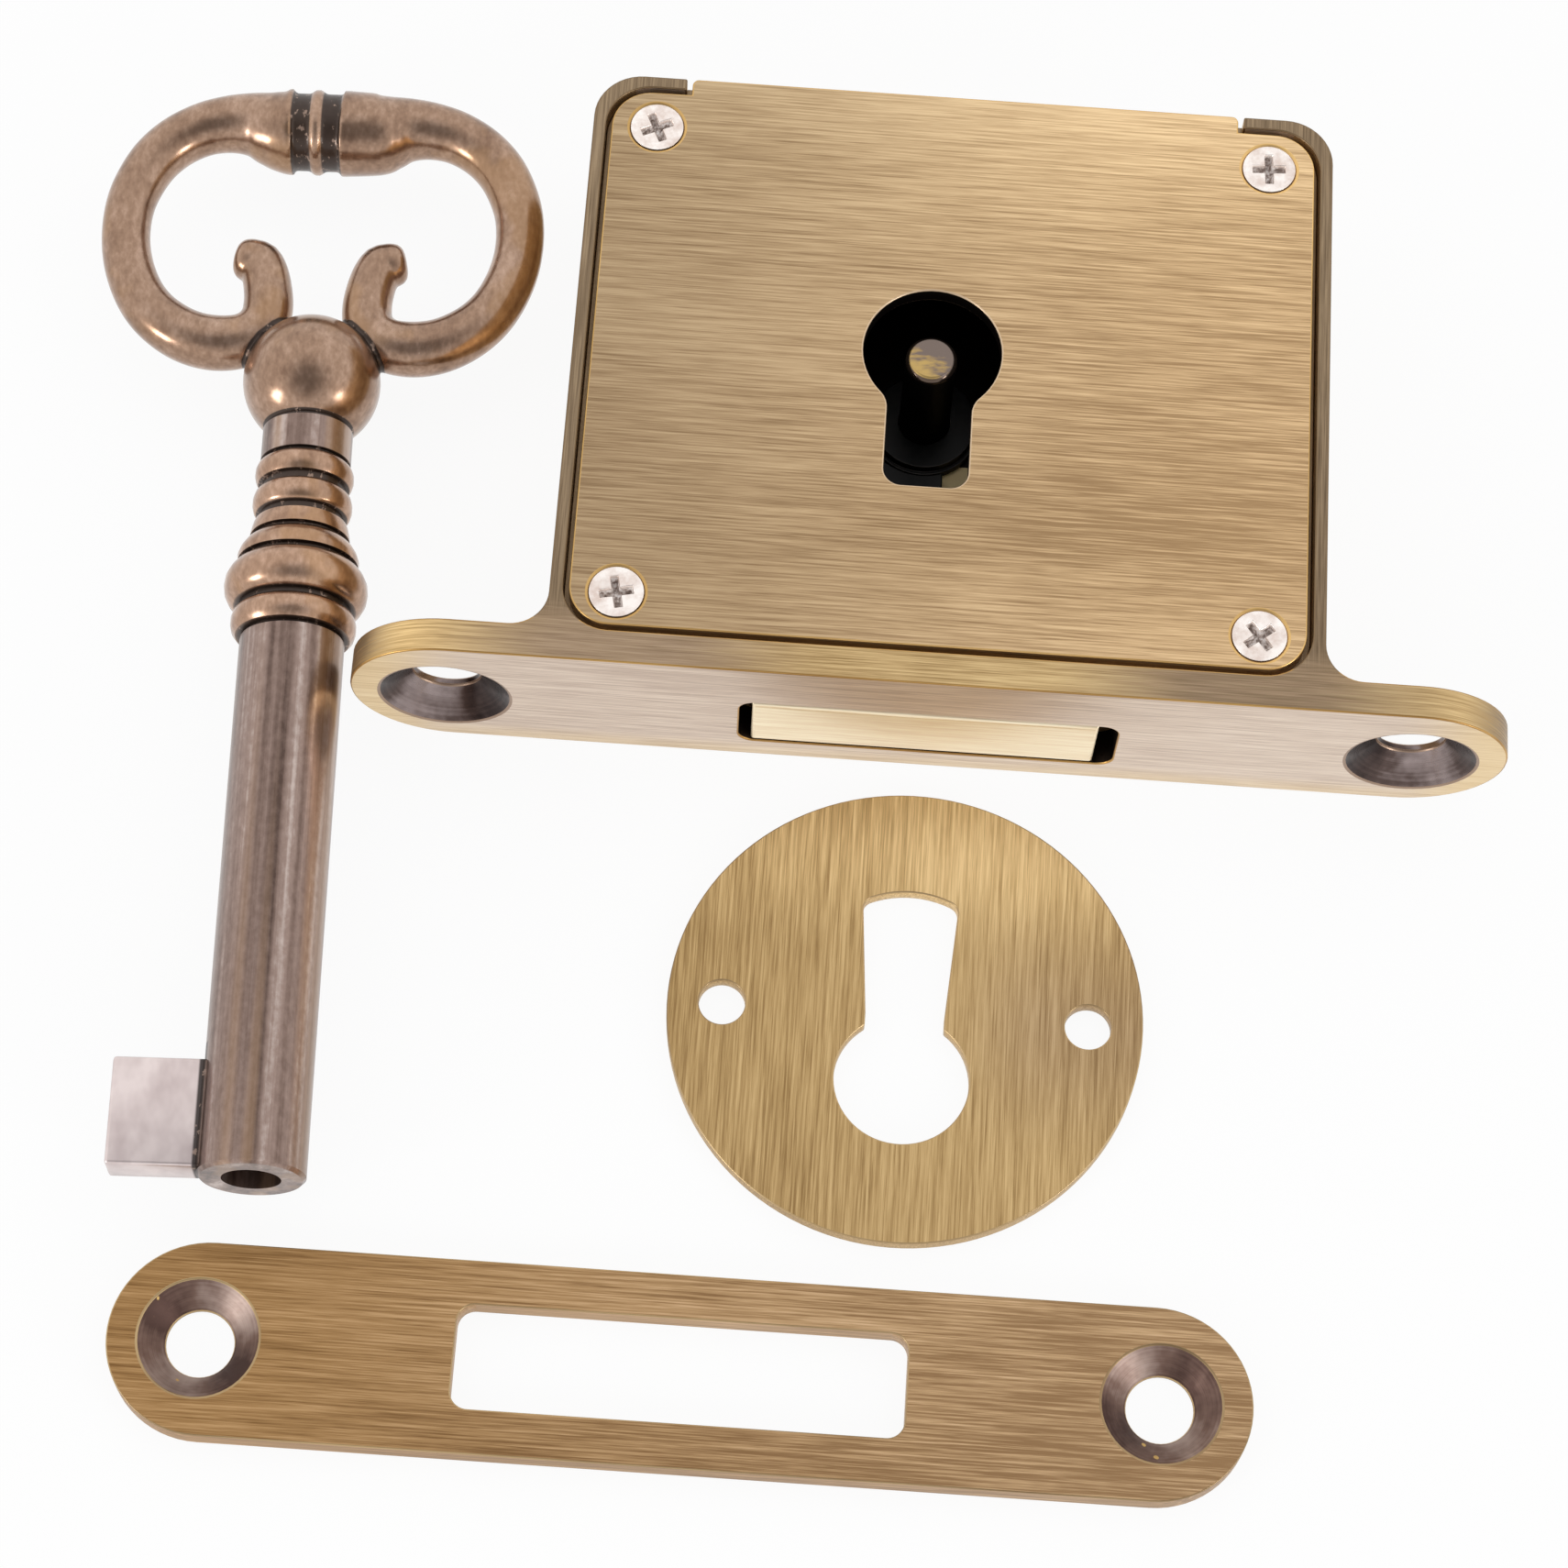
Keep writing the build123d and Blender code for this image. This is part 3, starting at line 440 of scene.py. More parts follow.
def hole_distance(tree, vector, centre, flat_axis):
    """Distance in metres from a hole's axis, which runs along flat_axis."""
    keep = [1.0, 1.0, 1.0]
    keep[flat_axis] = 0.0
    flat = add(tree, "ShaderNodeVectorMath", {0: vector, 1: tuple(keep)}, operation="MULTIPLY")
    middle = tuple(c * MM * k for c, k in zip(centre, keep))
    gap = add(tree, "ShaderNodeVectorMath", {0: flat.outputs[0], 1: middle}, operation="DISTANCE")
    return gap.outputs["Value"]


def countersinks(tree, vector, centres, flat_axis, radius, height, top):
    """The mask of the countersinks and the distance from the nearest hole's axis."""
    first, second = (hole_distance(tree, vector, centre, flat_axis) for centre in centres)
    near = calc(tree, "MINIMUM", first, second)
    inside = below(tree, near, radius + SINK_MARGIN)
    return both(tree, inside, below(tree, height, top - SINK_DEPTH)), near


def sink_finish(tree, vector, near, across, upward, tones, chips):
    """Turned metal: rings round the axis and a painted sheen that changes with the angle.

    chips moves the noise that places the golden chips.
    """
    ring_place = add(tree, "ShaderNodeCombineXYZ", {"X": near}).outputs[0]
    rings = spots(tree, ring_place, RING_RATES)
    # Painted sheen: light and dark wedges round each hole, set by the angle about its axis.
    angle = calc(tree, "ARCTAN2", upward, across)
    sheen = calc(tree, "SINE", weighted(tree, (angle, 2.0), base=3.6))
    grain = even_spots(tree, vector, GRAIN_RATE, 3.0, 0.6)
    value = weighted(tree, (sheen, 0.13), (rings, 0.22), (grain, 0.5), base=0.14)
    colour = ramp(tree, value, list(zip(SINK_STOPS, tones)))
    chipped = step_up(tree, even_spots(tree, vector, CHIP_RATE, 1.0, 0.4, chips), *CHIP_LIMITS)
    return mix(tree, chipped, colour, linear(216, 180, 112))


def strip_colour(tree, vector, from_middle, away):
    """Forend's top: dull beside the middle, golden at its ends, painted shade at the very ends, as
    (colour, fine streaks).
    """
    golden = (linear(150, 122, 78), linear(196, 166, 118), linear(226, 198, 146))
    colour, fine = brushed_colour(tree, vector, "y", golden, 3.0)
    dull_tones = (linear(120, 101, 83), linear(150, 127, 106), linear(174, 151, 128))
    dull, _ = brushed_colour(tree, vector, "y", dull_tones, 5.0)
    colour = mix(tree, fade(tree, span(tree, away, 11.0, 27.0, 5.0), 0.85), colour, dull)
    left_end = opposite(tree, rise(tree, from_middle, -33.0, -24.0))
    colour = tinted(tree, colour, (1.38, 1.38, 1.34, 1.0), left_end)
    # Painted shade: the far ends, where the strip curves down, are darkened along the streaks.
    tip_shade = both(tree, rise(tree, away, 31.0, 35.0), step_up(tree, fine, 0.36, 0.56))
    return mix(tree, fade(tree, tip_shade, 0.8), colour, linear(104, 86, 76)), fine


def face_colour(tree, vector, away, z):
    """Forend's outer face: pale, and golden towards its ends and its lower edge."""
    pale_tones = (linear(194, 174, 158), linear(219, 201, 184), linear(234, 218, 201))
    pale, _ = brushed_colour(tree, vector, "yz", pale_tones, 7.0)
    golden_tones = (linear(214, 186, 138), linear(232, 206, 160), linear(242, 220, 178))
    golden, _ = brushed_colour(tree, vector, "yz", golden_tones, 7.0)
    at_end = rise(tree, away, 27.0, 34.0)
    low_edge = opposite(tree, rise(tree, z, 0.3, 2.2))
    gold = either(tree, fade(tree, at_end, 0.9), fade(tree, low_edge, 0.45))
    return mix(tree, gold, pale, golden)


def case_material():
    """Forend and case: golden strip, pale outer face, dull rim and dark glossy countersinks."""
    material, tree = new_material("case_bronze")
    vector, x, y, z = object_place(tree)
    from_middle = past(tree, x, CASE_X)
    away = calc(tree, "ABSOLUTE", from_middle)
    colour, fine = strip_colour(tree, vector, from_middle, away)

    rim_tones = (linear(106, 88, 68), linear(136, 116, 92), linear(162, 140, 112))
    rim, _ = brushed_colour(tree, vector, "xz", rim_tones, 9.0)
    behind = rise(tree, y, FRONT_Y + 2.4, FRONT_Y + 4.2)
    upward = facing(tree, Z_AXIS, 1)
    colour = mix(tree, both(tree, behind, step_up(tree, upward, *MOSTLY)), colour, rim)

    # The walls and the back of the forend are brushed along their length.
    wall_tones = (linear(158, 130, 88), linear(202, 173, 126), linear(228, 200, 154))
    wall, _ = brushed_colour(tree, vector, "z", wall_tones, 13.0)
    back = step_up(tree, facing(tree, Y_AXIS, 1), *SQUARELY)
    upright = opposite(tree, step_up(tree, calc(tree, "ABSOLUTE", upward), *MOSTLY))
    colour = mix(tree, both(tree, either(tree, behind, back), upright), colour, wall)

    face = step_up(tree, facing(tree, Y_AXIS, -1), *SQUARELY)
    colour = mix(tree, face, colour, face_colour(tree, vector, away, z))

    # The walls of the bolt's slot get painted shade, near black.
    low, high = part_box("bolt_head")
    slot_shade = both(
        tree,
        band(tree, x, low[0] - SLOT_ROOM * MM, high[0] + SLOT_ROOM * MM, 0.05 * MM),
        band(tree, z, low[2] - SLOT_GAP * MM, high[2] + SLOT_GAP * MM, 0.05 * MM),
        below(tree, y, FRONT_Y + FOREND_THICK + 0.1),
        opposite(tree, face),
    )
    colour = mix(tree, slot_shade, colour, linear(36, 28, 24))

    # Inside the well the casting gets painted shade, near black, and the floor in front of the
    # keyhole's disc gets painted light, bright gold.
    inside = both(
        tree,
        within(tree, x, y, WELL_AREA),
        below(tree, z, LOCK_DEPTH - 2.0),
        above(tree, z, 0.5),
    )
    colour = mix(tree, inside, colour, linear(36, 30, 27))
    painted_light_floor = both(
        tree,
        inside,
        below(tree, z, FLOOR_THICK + 0.1),
        below(tree, y, -2.5),
        above(tree, x, 0.0),
    )
    colour = mix(tree, painted_light_floor, colour, linear(255, 226, 166))

    depth = calc(tree, "MULTIPLY", y, -1.0)
    sink, near = countersinks(
        tree, vector, FOREND_HOLES, Y_AXIS, FOREND_SINK_R, depth, -FRONT_Y
    )
    across = past(tree, away, FOREND_HOLE_HALF)
    over = past(tree, z, FOREND_HOLE_Z)
    sink_tones = (linear(52, 42, 40), linear(86, 72, 68), linear(146, 132, 130))
    sink_colour = sink_finish(tree, vector, near, across, over, sink_tones, (2.0, 5.0, 9.0))
    colour = mix(tree, sink, colour, sink_colour)
    roughness = weighted(tree, (fine, LINE_ROUGHNESS), (sink, -0.16), base=PLATE_ROUGHNESS)
    # The painted-light floor is made less metallic, so that it catches more light.
    metallic = weighted(tree, (painted_light_floor, -0.8), base=PLATE_METALLIC)
    lines = both(tree, fine, opposite(tree, sink))
    finish_metal(tree, colour, roughness, lines, LINE_BUMP, metallic)
    return material


def strike_material():
    """Strike plate: brushed like the forend, with pink-brown turned countersinks."""
    material, tree = new_material("strike_bronze")
    vector, x, y, z = object_place(tree)
    tones = (linear(136, 106, 68), linear(178, 147, 102), linear(208, 178, 134))
    colour, fine = brushed_colour(tree, vector, "yz", tones, 11.0)
    rightward = rise(tree, x, -44.0, 22.0)
    tint = mix(tree, rightward, (0.86, 0.74, 0.63, 1.0), (1.34, 1.36, 1.62, 1.0))
    colour = tinted(tree, colour, tint)
    sink, near = countersinks(
        tree, vector, STRIKE_HOLES, Z_AXIS, STRIKE_SINK_R, z, STRIKE_THICK
    )
    across = past(tree, calc(tree, "ABSOLUTE", past(tree, x, STRIKE_X)), STRIKE_HOLE_HALF)
    upward = past(tree, y, STRIKE_Y)
    sink_tones = (linear(82, 62, 56), linear(122, 98, 88), linear(172, 152, 142))
    sink_colour = sink_finish(tree, vector, near, across, upward, sink_tones, (4.0, 1.0, 7.0))
    colour = mix(tree, sink, colour, sink_colour)
    roughness = weighted(tree, (fine, LINE_ROUGHNESS), (sink, 0.08), base=PLATE_ROUGHNESS)
    lines = both(tree, fine, opposite(tree, sink))
    finish_metal(tree, colour, roughness, lines, LINE_BUMP, PLATE_METALLIC)
    return material


# Golden specks near the escutcheon's keyhole: cells per metre, size, share of the cells, the
# middle of their patch and where the patch fades out
SPECK_RATE = 1100.0
SPECK_SIZE = (0.10, 0.16)
SPECK_SHARE = (0.86, 0.87)
SPECK_MIDDLE = (ESCUTCHEON_X, ESCUTCHEON_Y + 8.6, 0.0)
SPECK_REACH = (2.5, 5.0)


def escutcheon_material():
    """Escutcheon: brushed from top to bottom, with golden specks near the keyhole."""
    material, tree = new_material("escutcheon_bronze")
    vector, x, y, _ = object_place(tree)
    tones = (linear(151, 120, 76), linear(189, 157, 107), linear(216, 185, 133))
    colour, fine = brushed_colour(tree, vector, "xz", tones, 17.0)
    right = both(tree, rise(tree, x, 2.0, 10.0), span(tree, y, -44.0, -35.0, 5.0))
    colour = tinted(tree, colour, (0.84, 0.84, 0.96, 1.0), right)
    top = rise(tree, y, -36.0, -26.5)
    colour = tinted(tree, colour, (1.52, 1.6, 1.72, 1.0), top)

    cells = {"Vector": vector, "Scale": SPECK_RATE}
    specks = add(tree, "ShaderNodeTexVoronoi", cells, feature="F1", distance="EUCLIDEAN").outputs
    small = opposite(tree, step_up(tree, specks["Distance"], *SPECK_SIZE))
    chance = add(tree, "ShaderNodeSeparateColor", {0: specks["Color"]}).outputs[0]
    few = step_up(tree, chance, *SPECK_SHARE)
    away = hole_distance(tree, vector, SPECK_MIDDLE, Z_AXIS)
    worn = both(tree, small, few, opposite(tree, rise(tree, away, *SPECK_REACH)))
    colour = mix(tree, worn, colour, linear(236, 196, 120))
    roughness = weighted(tree, (fine, LINE_ROUGHNESS), base=PLATE_ROUGHNESS)
    finish_metal(tree, colour, roughness, fine, 0.18, PLATE_METALLIC)
    return material


def plain_metal(name, colour, other, rate, rough, metallic=0.95, across_axes="xyz"):
    """Bright or dark metal with fine marks."""
    material, tree = new_material(name)
    vector = object_place(tree)[0]
    marks = spots(tree, vector, streak_rates(across_axes, rate / 30, rate), 3.0, 0.6)
    tone = ramp(tree, marks, [(0.36, colour), (0.64, other)])
    roughness = weighted(tree, (marks, 0.2), base=rough - 0.1)
    finish_metal(tree, tone, roughness, marks, 0.15, metallic)
    return material


def screw_material():
    """Bright plated screws: pinkish silver heads with a rougher, greyer recess that has painted
    glints.
    """
    material, tree = new_material("screw_nickel")
    vector, _, _, z = object_place(tree)
    marks = even_spots(tree, vector, 900.0, 3.0, 0.6)
    bright = ramp(tree, marks, [(0.34, linear(222, 204, 194)), (0.62, linear(252, 244, 238))])
    # The recess is grey and rough, and its near-white specks are painted glints.
    grit_and_glints = even_spots(tree, vector, 3200.0, 2.0, 0.6)
    grit_and_glint_tones = (linear(146, 130, 122), linear(206, 192, 184), linear(252, 246, 242))
    grey = ramp(tree, grit_and_glints, list(zip((0.4, 0.5, 0.6), grit_and_glint_tones)))
    deep = opposite(tree, rise(tree, z, LOCK_DEPTH - 0.32, LOCK_DEPTH - 0.1))
    colour = mix(tree, deep, bright, grey)
    roughness = weighted(tree, (deep, 0.2), base=0.26)
    metallic = weighted(tree, (deep, -0.6), base=0.75)
    finish_metal(tree, colour, roughness, grit_and_glints, 0.12, metallic)
    return material


def pin_material():
    """Drill pin: blackened, with its top rubbed bright grey and gold."""
    material, tree = new_material("pin_top")
    vector, x, y, z = object_place(tree)
    patches = spots(tree, vector, (500.0, 1500.0, 500.0), 3.0, 0.6, (5.0, 2.0, 1.0))
    slant = weighted(tree, (x, 60.0), (y, 110.0), (patches, 0.9))
    top_tones = (linear(190, 160, 100), linear(158, 134, 98), linear(122, 108, 100))
    top = ramp(tree, slant, list(zip((0.28, 0.38, 0.44), top_tones)))
    flat = rise(tree, z, PIN_TOP_Z - 0.12, PIN_TOP_Z - 0.05)
    chamfer = rise(tree, z, PIN_TOP_Z - 0.5, PIN_TOP_Z - 0.4)
    colour = mix(tree, chamfer, linear(20, 18, 17), linear(92, 78, 68))
    colour = mix(tree, flat, colour, top)
    roughness = weighted(tree, (flat, 0.16), (chamfer, -0.4), base=0.53)
    finish_metal(tree, colour, roughness, patches, 0.08, PLATE_METALLIC)
    return material


# Key, in its own frame: y runs from the tip along its axis
BORE_R = 1.75
BORE_DEPTH = 14.0
BIT_X = (2.4, 8.4)
BIT_Y = (0.3, 6.9)
BIT_HALF = 1.25
BIT_ROUNDING = 0.22
BALL_Y = 52.36
BALL_R = 4.3
BALL_STEPS = 40
# Barrel and turned shank, as (distance along the axis, radius)
SHANK = (
    # Barrel
    (0.0, 2.98), (0.22, 3.2), (34.3, 3.2), (34.4, 3.05), (34.5, 3.05),
    # Lowest ring
    (34.56, 3.5), (34.85, 3.74), (35.2, 3.83), (35.6, 3.83), (35.95, 3.74), (36.15, 3.55),
    (36.2, 3.4), (36.5, 3.4),
    # Widest ring
    (36.56, 3.75), (36.85, 4.1), (37.3, 4.33), (37.8, 4.4), (38.3, 4.35), (38.75, 4.15),
    (39.1, 3.88), (39.25, 3.65), (39.34, 3.42), (39.5, 3.42),
    # Ring that narrows upwards
    (39.56, 3.7), (39.9, 3.73), (40.3, 3.6), (40.7, 3.35), (40.95, 3.1),
    (41.03, 2.85), (41.2, 2.85),
    # Three thin rings
    (41.26, 3.08), (41.6, 3.04), (42.1, 2.93), (42.28, 2.86), (42.36, 2.6), (42.75, 2.6),
    (42.84, 2.84), (43.05, 2.98), (43.4, 3.07), (43.8, 3.07), (44.15, 2.98), (44.34, 2.82),
    (44.42, 2.6), (44.85, 2.6),
    (44.93, 2.84), (45.15, 2.97), (45.45, 3.05), (45.85, 3.04), (46.15, 2.93), (46.3, 2.8),
    (46.36, 2.6), (46.48, 2.6),
    # Neck, which ends inside the ball
    (46.55, 2.8), (48.75, 2.8), (48.83, 2.62), (49.3, 2.62), (51.0, 0.4),
)
# Dark grooves between the rings, from and to
GROOVES = (
    (34.34, 34.56),
    (36.14, 36.56),
    (39.27, 39.57),
    (40.98, 41.26),
    (42.3, 42.84),
    (44.37, 44.93),
    (46.31, 46.55),
    (48.78, 49.12),
)
# Right half of the bow from the scroll's tip to the bar, as (x, y, radius)
STRAND = (
    (4.2, 60.95, 1.42), (3.85, 60.8, 1.47), (3.5, 60.1, 1.5), (3.25, 59.1, 1.53),
    (3.12, 57.9, 1.57), (3.25, 56.7, 1.6), (3.8, 55.75, 1.66), (4.75, 55.15, 1.72),
    (6.2, 54.98, 1.76), (7.7, 55.25, 1.74), (9.1, 55.95, 1.7), (10.4, 57.05, 1.64),
    (11.4, 58.5, 1.59), (12.15, 60.4, 1.56), (12.5, 62.4, 1.54), (12.45, 64.5, 1.55),
    (12.0, 66.3, 1.58), (11.1, 68.15, 1.62), (9.8, 69.6, 1.66), (8.2, 70.6, 1.72),
    (6.6, 71.05, 1.84), (5.1, 71.1, 2.05), (3.9, 70.85, 2.4), (3.1, 70.68, 2.62),
)
# Where each half ends in the bar, as (side, distance from the middle)
STRAND_ENDS = ((-1, 2.36), (1, 0.8))
# Rounded tip of a strand, as shares of its radius: (reach past the end, radius)
TIP_SWELL = ((0.88, 0.42), (0.8, 0.7), (0.62, 0.88), (0.38, 0.97), (0.15, 1.0))
BAR_X = -0.8
BAR_Y = 70.65
BAR_END_R = 2.75
BAR_CORE_R = 2.48
BAR_CORE_HALF = 1.8
BAR_BEAD_R = 2.74
BAR_BEAD_HALF = 0.38
# Dark grooves beside the bead, from and to, measured from its middle
BAR_GROOVE = (0.37, 1.58)
STEP_LENGTH = 0.22
VOXEL = 0.13
ROUND_STEPS = 72
CREASE_ANGLE = radians(38)
# How often vertices are averaged with their neighbours to find hollows, and to calm the result
HOLLOW_ROUNDS = 14
CALM_ROUNDS = 2

# Noise of the key's material, as rates across, along and across the key
BLOTCH_RATES = (420.0, 260.0, 420.0)
FINE_RATES = (2600.0, 1500.0, 2600.0)
STREAK_RATES = (1700.0, 24.0, 1700.0)
REFLECTION_BAND_RATES = (680.0, 7.0, 680.0)
GOLDEN_REFLECTION_RATES = (520.0, 6.0, 520.0)
WEAR_RATES = (170.0, 130.0, 170.0)

# Zones of the key's material
BARREL_END = 34.45
COLLARS = (34.4, 46.4)
NECK = (46.5, 48.8)
BIT_START_X = -3.16
BIT_CREASE = (-3.35, -3.0)
BIT_TOP = 8.0


def smooth_line(points):
    """Points spaced closely along a Catmull-Rom curve through the given ones."""
    fine = []
    values = [np.array(p, float) for p in points]
    values = [2 * values[0] - values[1]] + values + [2 * values[-1] - values[-2]]
    for before, start, end, after in zip(values, values[1:], values[2:], values[3:]):
        count = max(2, int(np.linalg.norm(end[:2] - start[:2]) / STEP_LENGTH))
        for step in range(count):
            t = step / count
            fine.append(
                0.5
                * (
                    2 * start
                    + (end - before) * t
                    + (2 * before - 5 * start + 4 * end - after) * t**2
                    + (3 * start - before - 3 * end + after) * t**3
                )
            )
    fine.append(values[-2])
    return fine


def skin(shape, rings):
    """Faces between rings of vertices, with both ends closed."""
    loops = [[shape.verts.new(p) for p in ring] for ring in rings]
    for low, high in zip(loops, loops[1:]):
        for i in range(len(low)):
            j = (i + 1) % len(low)
            shape.faces.new((low[i], low[j], high[j], high[i]))
    shape.faces.new(list(reversed(loops[0])))
    shape.faces.new(loops[-1])


def round_ring(centre, across, upward, radius):
    """A circle of points round a centre."""
    points = []
    for i in range(ROUND_STEPS):
        angle = 2 * pi * i / ROUND_STEPS
        points.append(centre + across * (radius * cos(angle)) + upward * (radius * sin(angle)))
    return points


def strand(shape, line, side):
    """A round strand of changing thickness, with a blunt rounded first end."""
    line = [(Vector((side * x, y, 0)), r) for x, y, r in line]
    rings = []
    start, radius = line[0]
    back = (start - line[1][0]).normalized()
    for reach, share in TIP_SWELL:
        rings.append((start + back * radius * reach, -back, radius * share))
    for i, (centre, radius) in enumerate(line):
        before = line[max(i - 1, 0)][0]
        after = line[min(i + 1, len(line) - 1)][0]
        rings.append((centre, (after - before).normalized(), radius))
    up = Vector((0, 0, 1))
    skin(shape, [round_ring(c, along.cross(up), up, r) for c, along, r in rings])


def turned(shape, profile, origin, axis):
    """A shape turned about an axis, from (distance along it, radius) pairs."""
    up = Vector((0, 0, 1))
    across = axis.cross(up)
    skin(shape, [round_ring(origin + axis * place, across, up, r) for place, r in profile])


def finished_mesh(shape, name):
    """A mesh from a bmesh shape, with its faces turned outwards."""
    bmesh.ops.recalc_face_normals(shape, faces=shape.faces)
    mesh = bpy.data.meshes.new(name)
    shape.to_mesh(mesh)
    shape.free()
    return mesh


def shank_mesh():
    """Barrel with its bore, rings, neck and bit, with crisp grooves."""
    shape = bmesh.new()
    bore = [(BORE_DEPTH, 0.4), (BORE_DEPTH, BORE_R), (0.0, BORE_R)]
    turned(shape, bore + list(SHANK), Vector((0, 0, 0)), Vector((0, 1, 0)))
    (near, far), (low, high) = BIT_X, BIT_Y
    made = bmesh.ops.create_cube(shape, size=1.0)["verts"]
    for vertex in made:
        vertex.co.x = -(near + far) / 2 + vertex.co.x * (far - near)
        vertex.co.y = (low + high) / 2 + vertex.co.y * (high - low)
        vertex.co.z *= 2 * BIT_HALF
    edges = [e for e in shape.edges if e.verts[0] in made and e.verts[1] in made]
    bmesh.ops.bevel(
        shape, geom=edges, offset=BIT_ROUNDING, segments=3, affect="EDGES", profile=0.5
    )
    return finished_mesh(shape, "shank")


def bow_mesh():
    """Ball, strands, bar and bead, melted into one casting."""
    shape = bmesh.new()
    ball = []
    for step in range(BALL_STEPS + 1):
        height = (BALL_R - 0.02) * (2 * step / BALL_STEPS - 1)
        ball.append((BALL_Y + height, sqrt(BALL_R**2 - height**2)))
    turned(shape, ball, Vector((0, 0, 0)), Vector((0, 1, 0)))
    for side, end in STRAND_ENDS:
        last = ((end + 0.3, BAR_Y, BAR_END_R), (end, BAR_Y, BAR_END_R))
        strand(shape, smooth_line(STRAND + last), side)
    core = [(-BAR_CORE_HALF, BAR_CORE_R), (BAR_CORE_HALF, BAR_CORE_R)]
    bead = [
        (-BAR_BEAD_HALF, BAR_CORE_R),
        (-BAR_BEAD_HALF + 0.05, BAR_BEAD_R - 0.12),
        (-BAR_BEAD_HALF + 0.2, BAR_BEAD_R),
        (BAR_BEAD_HALF - 0.2, BAR_BEAD_R),
        (BAR_BEAD_HALF - 0.05, BAR_BEAD_R - 0.12),
        (BAR_BEAD_HALF, BAR_CORE_R),
    ]
    for profile in (core, bead):
        turned(shape, profile, Vector((BAR_X, BAR_Y, 0)), Vector((1, 0, 0)))
    rough = new_object("bow_rough", finished_mesh(shape, "bow_rough"))
    melt = rough.modifiers.new("melt", "REMESH")
    melt.mode = "VOXEL"
    melt.voxel_size = VOXEL
    calm = rough.modifiers.new("calm", "SMOOTH")
    calm.factor = 0.5
    calm.iterations = 3
    bpy.context.view_layer.update()
    graph = bpy.context.evaluated_depsgraph_get()
    cast = bpy.data.meshes.new_from_object(rough.evaluated_get(graph))
    bpy.data.objects.remove(rough)
    return cast


def vertex_values(mesh, name):
    """The place or the normal of every vertex, one row each."""
    values = np.zeros(len(mesh.vertices) * 3)
    mesh.vertices.foreach_get(name, values)
    return values.reshape(-1, 3)


def hollowness(mesh):
    """How hollow (above 0) or proud (below 0) the surface is at each vertex."""
    count = len(mesh.vertices)
    places = vertex_values(mesh, "co")
    normals = vertex_values(mesh, "normal")
    pairs = np.zeros(len(mesh.edges) * 2, int)
    mesh.edges.foreach_get("vertices", pairs)
    first, second = pairs.reshape(-1, 2).T
    number = np.bincount(first, minlength=count) + np.bincount(second, minlength=count)

    def average(values):
        total = np.zeros_like(values)
        np.add.at(total, first, values[second])
        np.add.at(total, second, values[first])
        return total / number.reshape(-1, *([1] * (values.ndim - 1)))

    softened = places
    for _ in range(HOLLOW_ROUNDS):
        softened = average(softened)
    field = ((softened - places) * normals).sum(1) / VOXEL
    for _ in range(CALM_ROUNDS):
        field = average(field)
    return field


def make_key():
    """The key in place of the plain CAD key, with each point's place in its own frame kept."""
    shank = shank_mesh()
    bow = bow_mesh()
    points = np.concatenate([vertex_values(shank, "co"), vertex_values(bow, "co")])
    count = len(shank.vertices)
    faces = [tuple(p.vertices) for p in shank.polygons]
    faces += [tuple(v + count for v in p.vertices) for p in bow.polygons]
    mesh = bpy.data.meshes.new("key_casting")
    mesh.from_pydata(points.tolist(), [], faces)
    hollow = np.concatenate([np.zeros(count), hollowness(bow)]).astype(np.float32)
    mesh.attributes.new("hollow", "FLOAT", "POINT").data.foreach_set("value", hollow)
    own = (points * MM).astype(np.float32).ravel()
    mesh.attributes.new("own_place", "FLOAT_VECTOR", "POINT").data.foreach_set("vector", own)
    for polygon in mesh.polygons:
        polygon.use_smooth = True
    mesh.set_sharp_from_angle(angle=CREASE_ANGLE)
    mesh.transform(Matrix.Diagonal((MM, MM, MM, 1)))
    mesh.transform(Matrix.Rotation(KEY_TURN, 4, "Z"))
    mesh.transform(Matrix.Translation(Vector((KEY_X, KEY_TIP_Y, KEY_Z)) * MM))
    for spare in (shank, bow):
        bpy.data.meshes.remove(spare)
    return new_object("key_casting", mesh)


def barrel_colour(tree, vector, fine):
    """Barrel: grey-brown, with painted reflection stripes along its length, some of them golden, as
    (colour, streaks).
    """
    streaks = spots(tree, vector, STREAK_RATES, 3.0, 0.6)
    # Painted reflection: broad light and dark bands along the barrel.
    reflection_bands = spots(tree, vector, REFLECTION_BAND_RATES, 1.0, 0.5, (3.0, 0.0, 1.0))
    tones = (linear(82, 62, 53), linear(122, 100, 90), linear(150, 128, 118), linear(194, 177, 169))
    blend = weighted(tree, (reflection_bands, 0.5), (streaks, 0.36), (fine, 0.14))
    barrel = ramp(tree, blend, list(zip((0.39, 0.47, 0.55, 0.63), tones)))
    # Painted reflection: some of the bands are made golden.
    golden = spots(tree, vector, GOLDEN_REFLECTION_RATES, 1.0, 0.5, (8.0, 0.0, 5.0))
    golden = fade(tree, step_up(tree, golden, 0.48, 0.6), 0.45)
    return mix(tree, golden, barrel, linear(166, 132, 100)), streaks


def copper_colour(tree, vector, blotch, fine, along):
    """Bow and collars: brown-pink copper with golden wear, and lighter collars."""
    tones = (linear(124, 94, 74), linear(156, 125, 103), linear(188, 157, 136))
    blend = weighted(tree, (blotch, 0.5), (fine, 0.5))
    copper = ramp(tree, blend, list(zip((0.3, 0.5, 0.7), tones)))
    wear = spots(tree, vector, WEAR_RATES, 3.0, 0.6, (9.0, 4.0, 2.0))
    wear = fade(tree, step_up(tree, wear, 0.5, 0.6), 0.4)
    copper = mix(tree, wear, copper, linear(166, 126, 84))
    return tinted(tree, copper, (1.2, 1.18, 1.16, 1.0), span(tree, along, *COLLARS, 0.05))


